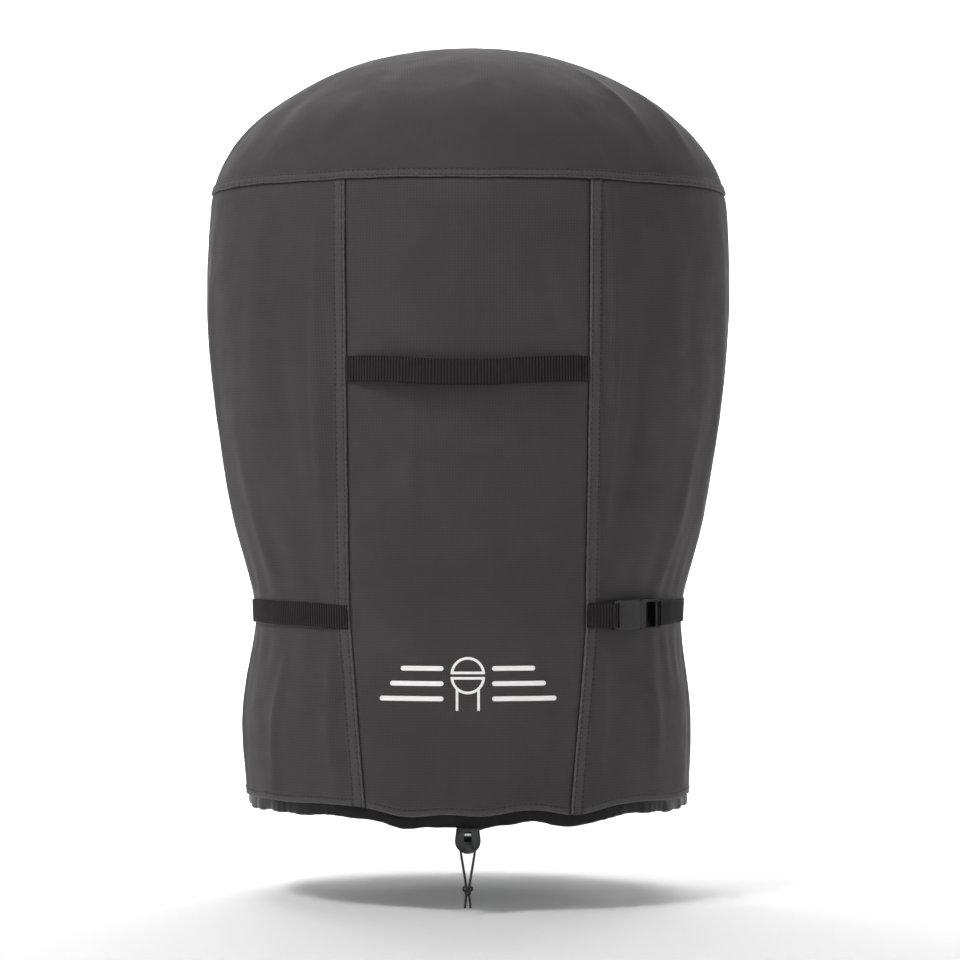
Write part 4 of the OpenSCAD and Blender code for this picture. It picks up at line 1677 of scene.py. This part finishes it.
    def build(self) -> list[bpy.types.Object]:
        """Make the laps and their stitches.

        Returns:
            The pieces.
        """
        made = []
        for node, middle, side in (
            ("seam_front_left", 0.0, -1),
            ("seam_front_right", 0.0, 1),
            ("seam_rear_left", math.pi, 1),
            ("seam_rear_right", math.pi, -1),
        ):
            piece = self.vertical(node.replace("seam", "lap"), middle, side)
            made.append(dress(piece, OXFORD, node))
        ring = dress(self.crown_ring(), OXFORD, "crown_seam")
        stitches = StitchRows().sew("seam_stitches", self.stitch_lines())
        return [*made, ring, dress(stitches, THREAD)]


@dataclass
class HemCasing:
    """Black tunnel of thin cloth that hangs under the hem and holds the drawcord."""

    drape: Drape
    outer: float = 284.2 * MM
    inner: float = 277.6 * MM
    drop: float = 15 * MM
    lap: float = 11 * MM
    lock_pull: float = 2.6 * MM

    def build(self) -> bpy.types.Object:
        """Make the casing, gathered in small folds along its cord.

        Returns:
            The sheet.
        """
        azimuth = np.linspace(0, 2 * math.pi, 1100, endpoint=False)[:, None]
        hem = self.drape.hem_depth(azimuth)
        turn = np.linspace(-math.pi / 2, math.pi / 2, 7)
        middle, half = (self.outer + self.inner) / 2, (self.outer - self.inner) / 2
        low = self.drop - half
        section = [(self.outer, -self.lap), (self.outer, -0.5 * self.lap)]
        section += [(self.outer, 0.0), (self.outer + 0.3 * MM, 0.35 * low)]
        section += [(self.outer + 0.4 * MM, 0.7 * low)]
        section += [(middle - half * math.sin(t), low + half * math.cos(t)) for t in turn]
        section += [(self.inner, 0.5 * low), (self.inner, 0.0), (self.inner, -self.lap)]
        girth = run_along(np.array(section))
        reach, below = (np.array(column)[None, :] for column in zip(*section))
        fine = np.sin(azimuth * 96 + 3.1 * np.sin(azimuth * 7) + 2 * np.sin(azimuth * 19))
        slow = np.sin(azimuth * 31 + 2 * np.sin(azimuth * 5))
        free = smooth_step(below, -2 * MM, 5 * MM)
        outward = np.sign(reach - middle)
        puff = free * (0.22 * MM * fine + 0.7 * MM * slow) * (outward > 0)
        droop = 0.9 * MM * slow * free + 0.15 * MM * fine * free
        # the lock's weight draws the casing down at the front
        pull = bump_at(np.sin(azimuth / 2), 0, 0.035)
        droop = droop + self.lock_pull * pull * free
        level = self.drape.outline.cloth - hem - below - droop
        points = around(azimuth, reach + puff - 0.4 * MM, level)
        rows, cols = points.shape[:2]
        uv = grid_uv(azimuth[:, 0] * middle, girth)
        wear_and_highlight = np.repeat(0.5 * bump_at(below, self.drop, 2.5 * MM), rows, 0)
        faces = [face[::-1] for face in grid_faces(rows, cols, ends="joined")]
        piece = make_object("hem_casing_cloth", points, faces, uv, {"wear_and_highlight": wear_and_highlight})
        dress(piece, BINDING, "hem_casing")
        return piece


def tilted(azimuth: np.ndarray, lean: np.ndarray) -> tuple[np.ndarray, np.ndarray]:
    """Directions of a strap that stands round the cover's axis.

    Args:
        azimuth: angle of each of its points, in radians.
        lean: how far its upper edge leans inwards, in radians.

    Returns:
        Upward and outward directions at each point.
    """
    flat = around(azimuth, 1.0, 0.0)
    cosine, sine = np.cos(lean)[..., None], np.sin(lean)[..., None]
    return UP * cosine - flat * sine, flat * cosine + UP * sine


@dataclass
class CarryHandle:
    """A carry handle of ribbed webbing, sewn in under the panel seams."""

    drape: Drape
    face: Face
    half_width_x: float = 138.85 * MM
    arc_radius: float = 236.07 * MM
    arc_centre: float = 115.2 * MM
    half_angle: float = math.radians(35.89)
    depth: float = 423 * MM
    width: float = 32 * MM
    sag: float = 5.5 * MM

    def build(self) -> None:
        """Make the free strap and its two sewn ends."""
        body = Body.FRONT_HANDLE if self.face is Face.FRONT else Body.REAR_HANDLE
        label = self.face.name.lower()
        sign = 1.0 if self.face is Face.FRONT else -1.0
        ribbon = Ribbon(self.width)
        angle = np.linspace(-self.half_angle, self.half_angle, 440)
        droop = self.sag * np.cos(angle / self.half_angle * math.pi / 2) ** 2
        level = self.drape.outline.cloth - self.depth - droop
        path = around(angle, self.arc_radius, level) - [0, self.arc_centre, 0]
        lean = math.radians(4) * np.cos(angle / self.half_angle * math.pi / 2)
        up, out = tilted(angle, lean)
        turn = np.array([sign, sign, 1.0])
        strap = ribbon.lay(f"{label}_strap", path * turn, up * turn, out * turn)
        dress(strap, WEBBING, f"{label}_handle", body=body)
        run = self.drape.run_at(self.depth)
        edge = float(self.drape.outline.edge_x(np.array(self.depth)))
        radius = self.drape.outline.radius(self.depth)
        x = np.linspace(self.half_width_x - 0.6 * MM, edge - 0.7 * MM, 22)
        upward = np.tile(UP, (len(x), 1))
        for side, name in ((-1, "left"), (1, "right")):
            azimuth = side * np.arcsin(x / radius)
            azimuth = azimuth if sign > 0 else math.pi - azimuth
            end = self.drape.place(azimuth, run, 0.9 * MM)
            normal = unit(self.drape.place(azimuth, run, 1.9 * MM) - end)
            tab = ribbon.lay(f"{label}_strap_end_{name}", end, upward, normal)
            dress(tab, WEBBING, f"{label}_tab_{name}")


@dataclass
class WaistBelt:
    """Belt of ribbed webbing round the waist, with its keepers and its short strap."""

    drape: Drape
    depth: float = 727 * MM
    width: float = 30 * MM
    thickness: float = 1.6 * MM
    buckle_azimuth: float = 47.5
    buckle_floor: float = 282.71 * MM
    socket_length: float = 50 * MM
    latch_length: float = 42 * MM
    bar_width: float = 4 * MM
    tail_length: float = 26 * MM
    tail_radius: float = 283 * MM

    def ribbon(self) -> Ribbon:
        """The belt's webbing, with ribs a little lower than the handle's."""
        return Ribbon(self.width, self.thickness, rib_height=0.4 * MM)

    def at_buckle(self, out: np.ndarray, away: np.ndarray) -> np.ndarray:
        """Places in plan beside the buckle.

        Args:
            out: distance from the cover's axis along the buckle's middle.
            away: distance from the mouth, towards the latch's end.

        Returns:
            Points at the belt's middle level.
        """
        turn = math.radians(self.buckle_azimuth)
        normal = np.array([math.sin(turn), -math.cos(turn)])
        tangent = np.array([math.cos(turn), math.sin(turn)])
        plan = np.outer(out, normal) + np.outer(away, tangent)
        level = np.full(len(plan), self.drape.outline.cloth - self.depth)
        return np.column_stack([plan, level])

    def flat_strap(self, name: str, knots: np.ndarray) -> bpy.types.Object:
        """A strap along a line in plan, with its outer face away from the axis side.

        Args:
            name: the piece's name.
            knots: points of the line.

        Returns:
            The strap.
        """
        path = through([tuple(p) for p in knots], 0.65 * MM)
        tall = np.tile(UP, (len(path), 1))
        out = np.cross(unit(np.gradient(path, axis=0)), tall)
        return self.ribbon().lay(name, path, tall, out)

    def belt(self) -> None:
        """The long belt, from the left front seam round the back to the buckle."""
        azimuth = np.radians(np.linspace(48.3, 327.7, 2100))
        run = self.drape.run_at(self.depth)
        rise = 1.35 * MM + 0.35 * MM * np.sin(azimuth * 23 + 2 * np.sin(azimuth * 6))
        path = self.drape.place(azimuth, run, rise + 0.8 * MM, relief=0.15)
        path[:, 2] += 1.2 * MM * np.sin(azimuth * 5 + 1) + 0.5 * MM * np.sin(azimuth * 13)
        piece = self.ribbon().lay("belt_webbing", path, *tilted(azimuth, np.array(-0.045)))
        dress(piece, WEBBING, "waist_belt")

    def short_strap(self) -> None:
        """The short strap that is sewn in the right seam and carries the socket."""
        seam = math.radians(31.9)
        wall = float(self.drape.outline.radius(self.depth))
        turn = math.radians(self.buckle_azimuth)
        bar = -self.socket_length + self.bar_width / 2
        middle = self.buckle_floor + 5 * MM
        away = wall * math.sin(seam - turn)
        low = wall * math.cos(seam - turn)
        floor = self.buckle_floor
        out = [low + 2.4 * MM, floor - 0.8 * MM, floor - 0.9 * MM, floor - 0.2 * MM]
        down = [away, bar - 4 * MM, bar, bar + 2.6 * MM]
        out += [middle, floor + 10.3 * MM, floor + 11.0 * MM, floor + 10.2 * MM]
        down += [bar + 3.0 * MM, bar + 2.6 * MM, bar, bar - 2.8 * MM]
        out += [floor + 6.4 * MM, floor + 2.0 * MM, low + 4.4 * MM]
        down += [bar - 5.0 * MM, bar - 10 * MM, away]
        route = self.at_buckle(np.array(out), np.array(down))
        dress(self.flat_strap("short_strap", route), WEBBING, "socket_strap")

    def tail(self) -> None:
        """The belt's turn round the latch's bar and its free tail."""
        middle = self.buckle_floor + 5 * MM
        bar = self.latch_length - self.bar_width / 2
        floor = self.buckle_floor
        out = [floor + 2.2 * MM, floor + 6.4 * MM, floor + 10.3 * MM, floor + 11.0 * MM]
        away = [bar + 9 * MM, bar + 4.6 * MM, bar + 2.7 * MM, bar]
        out += [floor + 10.3 * MM, middle, floor - 0.2 * MM, floor - 0.9 * MM]
        away += [bar - 2.7 * MM, bar - 3.0 * MM, bar - 2.6 * MM, bar]
        points = list(self.at_buckle(np.array(out), np.array(away)))
        turn = math.radians(self.buckle_azimuth)
        level = self.drape.outline.cloth - self.depth
        for run in np.linspace(46 * MM, 50 * MM + self.tail_length + 18 * MM, 7):
            azimuth = turn + run / self.tail_radius
            radius = self.tail_radius + (0.0 if run > 50 * MM else self.thickness)
            points.append(around(azimuth, radius, level))
        piece = self.flat_strap("belt_tail_webbing", np.array(points))
        dress(piece, WEBBING, "belt_tail", body=Body.LATCH)

    def keepers(self) -> None:
        """Two narrow loops at the rear seams that hold the belt."""
        depth = np.array(self.depth)
        line = self.drape.outline
        turn = math.asin(float((line.edge_x(depth) + 6.5 * MM) / line.radius(depth)))
        for side, name in ((-1, "left"), (1, "right")):
            azimuth = math.pi - side * turn
            offsets = np.array([-25, -21, -17.5, -16, -13, 0, 13, 16, 17.5, 21, 25]) * MM
            outs = np.array([2.2, 2.2, 2.6, 4.0, 4.7, 4.9, 4.7, 4.0, 2.6, 2.2, 2.2]) * MM
            knots = self.drape.place(azimuth, self.drape.run_at(self.depth) + offsets, outs)
            path = through([tuple(p) for p in knots], 0.6 * MM)
            across = np.array([math.cos(azimuth), math.sin(azimuth), 0.0])
            width = np.tile(across, (len(path), 1))
            out = np.cross(width, unit(np.gradient(path, axis=0)))
            out *= np.sign(out @ around(azimuth, 1.0, 0.0))[:, None]
            keeper = Ribbon(6 * MM, 1.2 * MM, 2.5 * MM, 0.2 * MM, 5)
            piece = keeper.lay(f"keeper_{name}", path, width, out)
            dress(piece, WEBBING, f"belt_keeper_{name}")

    def build(self) -> None:
        """Make the belt's pieces."""
        self.belt()
        self.short_strap()
        self.tail()
        self.keepers()


@dataclass
class Fittings:
    """Moulded fittings: side-release buckle and cord lock, with the lock's roller."""

    edge: float = 0.55 * MM

    def soften(self, name: str, node: str, width: float) -> bpy.types.Object:
        """Copy a CAD solid's mesh and round its edges as a mould does.

        Args:
            name: the piece's name.
            node: the CAD node.
            width: how wide the rounding is.

        Returns:
            The piece.
        """
        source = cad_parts[node]
        mesh = source.data.copy()
        mesh.transform(source.matrix_world)
        mesh.name = name
        mesh.polygons.foreach_set("use_smooth", [True] * len(mesh.polygons))
        work = bmesh.new()
        work.from_mesh(mesh)
        bmesh.ops.remove_doubles(work, verts=work.verts[:], dist=1e-5)
        bmesh.ops.dissolve_limit(
            work, angle_limit=math.radians(1.0), verts=work.verts[:], edges=work.edges[:]
        )
        bmesh.ops.recalc_face_normals(work, faces=work.faces[:])
        work.to_mesh(mesh)
        work.free()
        mesh.set_sharp_from_angle(angle=math.radians(28))
        piece = put(name, mesh)
        bevel = piece.modifiers.new("moulded_edges", "BEVEL")
        bevel.width = width
        bevel.segments = 2
        bevel.limit_method = "ANGLE"
        bevel.angle_limit = math.radians(28)
        bevel.use_clamp_overlap = True
        bevel.harden_normals = True
        settle(piece)
        return piece

    def build(self) -> None:
        """Make each fitting."""
        plan = (
            ("buckle_socket_shell", "buckle_socket", Body.COVER, self.edge),
            ("buckle_latch_frame", "buckle_latch", Body.LATCH, self.edge),
            ("latch_arm_upper", "latch_prong_upper", Body.PRONG_UPPER, 0.4 * MM),
            ("latch_arm_lower", "latch_prong_lower", Body.PRONG_LOWER, 0.4 * MM),
            ("lock_body", "cord_lock_body", Body.COVER, 1.2 * MM),
        )
        for name, node, body, width in plan:
            dress(self.soften(name, node, width), ACETAL, node, body=body)
        roller = self.soften("lock_roller", "cord_lock_roller", 0.5 * MM)
        dress(roller, STEEL, "cord_lock_roller", body=Body.ROLLER)


@dataclass
class Emblem:
    """White print low on the front: a plain kettle sign between short stripes."""

    drape: Drape
    depth: float = 809 * MM
    height: float = 66 * MM
    ink: float = 0.3 * MM

    def stroke(
        self, line: np.ndarray, width: float, rounded: bool
    ) -> tuple[np.ndarray, list]:
        """A painted stroke as a fine grid.

        Args:
            line: its middle line, in metres across and up.
            width: its width.
            rounded: whether its ends are round.

        Returns:
            Flat points and faces.
        """
        steps = run_along(line)
        count = max(4, int(steps[-1] / (2.5 * MM)))
        even = np.linspace(0, steps[-1], count)
        if rounded:
            cap = width / 2 * (1 - np.cos(np.linspace(0, math.pi / 2, 6)))
            even = np.concatenate([cap, even[even > width / 2], steps[-1] - cap])
            even = np.unique(even)
            even = even[(even >= 0) & (even <= steps[-1])]
        spots = np.stack([np.interp(even, steps, line[:, k]) for k in (0, 1)], 1)
        heading = unit(np.gradient(spots, axis=0))
        side = np.stack([-heading[:, 1], heading[:, 0]], 1)
        half = np.full(len(even), width / 2)
        if rounded:
            near = np.minimum(even, steps[-1] - even)
            bite = np.clip(width / 2 - near, 0, width / 2)
            half = np.sqrt(np.maximum((width / 2) ** 2 - bite**2, 1e-9))
        across = np.linspace(-1, 1, 5)
        points = spots[:, None] + side[:, None] * (half[:, None] * across)[..., None]
        return points.reshape(-1, 2), grid_faces(len(even), 5)

    def strokes(self) -> list[tuple[np.ndarray, list]]:
        """Every stroke of the sign."""
        h = self.height
        r, t = 0.32 * h, 0.05 * h
        made = []
        for sign in (1, -1):
            base = 0.15 * h + sign * 0.5 * t
            turn = np.linspace(0, math.pi, 40)
            ring = r - t / 2
            arc = np.stack([ring * np.cos(turn), base + sign * ring * np.sin(turn)], 1)
            made.append(self.stroke(arc, t, False))
            bar = np.array([[-r + t, base + sign * t / 2], [r - t, base + sign * t / 2]])
            made.append(self.stroke(bar, t * 0.98, False))
        for side in (-1, 1):
            leg = np.array([[side * 0.2 * h, -0.1 * h], [side * 0.2 * h, -0.5 * h]])
            made.append(self.stroke(leg, t, False))
            for row in (-1, 0, 1):
                middle = side * (0.45 * h + (0.5 - 0.1 * row) * h)
                half = (1 - 0.2 * row) * h / 2
                level = row * 0.28 * h
                stripe = np.array([[middle - half, level], [middle + half, level]])
                made.append(self.stroke(stripe, 0.09 * h, True))
        return made

    def build(self) -> None:
        """Print the sign on the front panel."""
        points, faces, start = [], [], 0
        for spots, quads in self.strokes():
            points.append(spots)
            faces += [[start + corner for corner in quad] for quad in quads]
            start += len(spots)
        flat = np.vstack(points)
        depth = self.depth - flat[:, 1]
        radius = self.drape.outline.radius(depth)
        azimuth = np.arcsin(flat[:, 0] / radius)
        places = self.drape.place(azimuth, self.drape.run_at(depth), self.ink)
        piece = make_object("kettle_print", places, faces, flat)
        work = bmesh.new()
        work.from_mesh(piece.data)
        for item in work.faces:
            item.normal_update()
            if item.normal.y > 0:
                item.normal_flip()
        work.to_mesh(piece.data)
        work.free()
        dress(piece, INK, "printed_emblem")


def main() -> None:
    """Build every sub-assembly and report each piece."""
    logging.basicConfig(level=logging.INFO, format="%(name)s: %(message)s")
    drape = Drape()
    Studio().build()
    Drawcord().build(drape)
    sheets = ClothPanels(drape).build()
    laps = Seams(drape).build()
    HemCasing(drape).build()
    for face in (Face.FRONT, Face.REAR):
        CarryHandle(drape, face).build()
    WaistBelt(drape).build()
    Fittings().build()
    Emblem(drape).build()


if __name__ == "__main__":
    main()
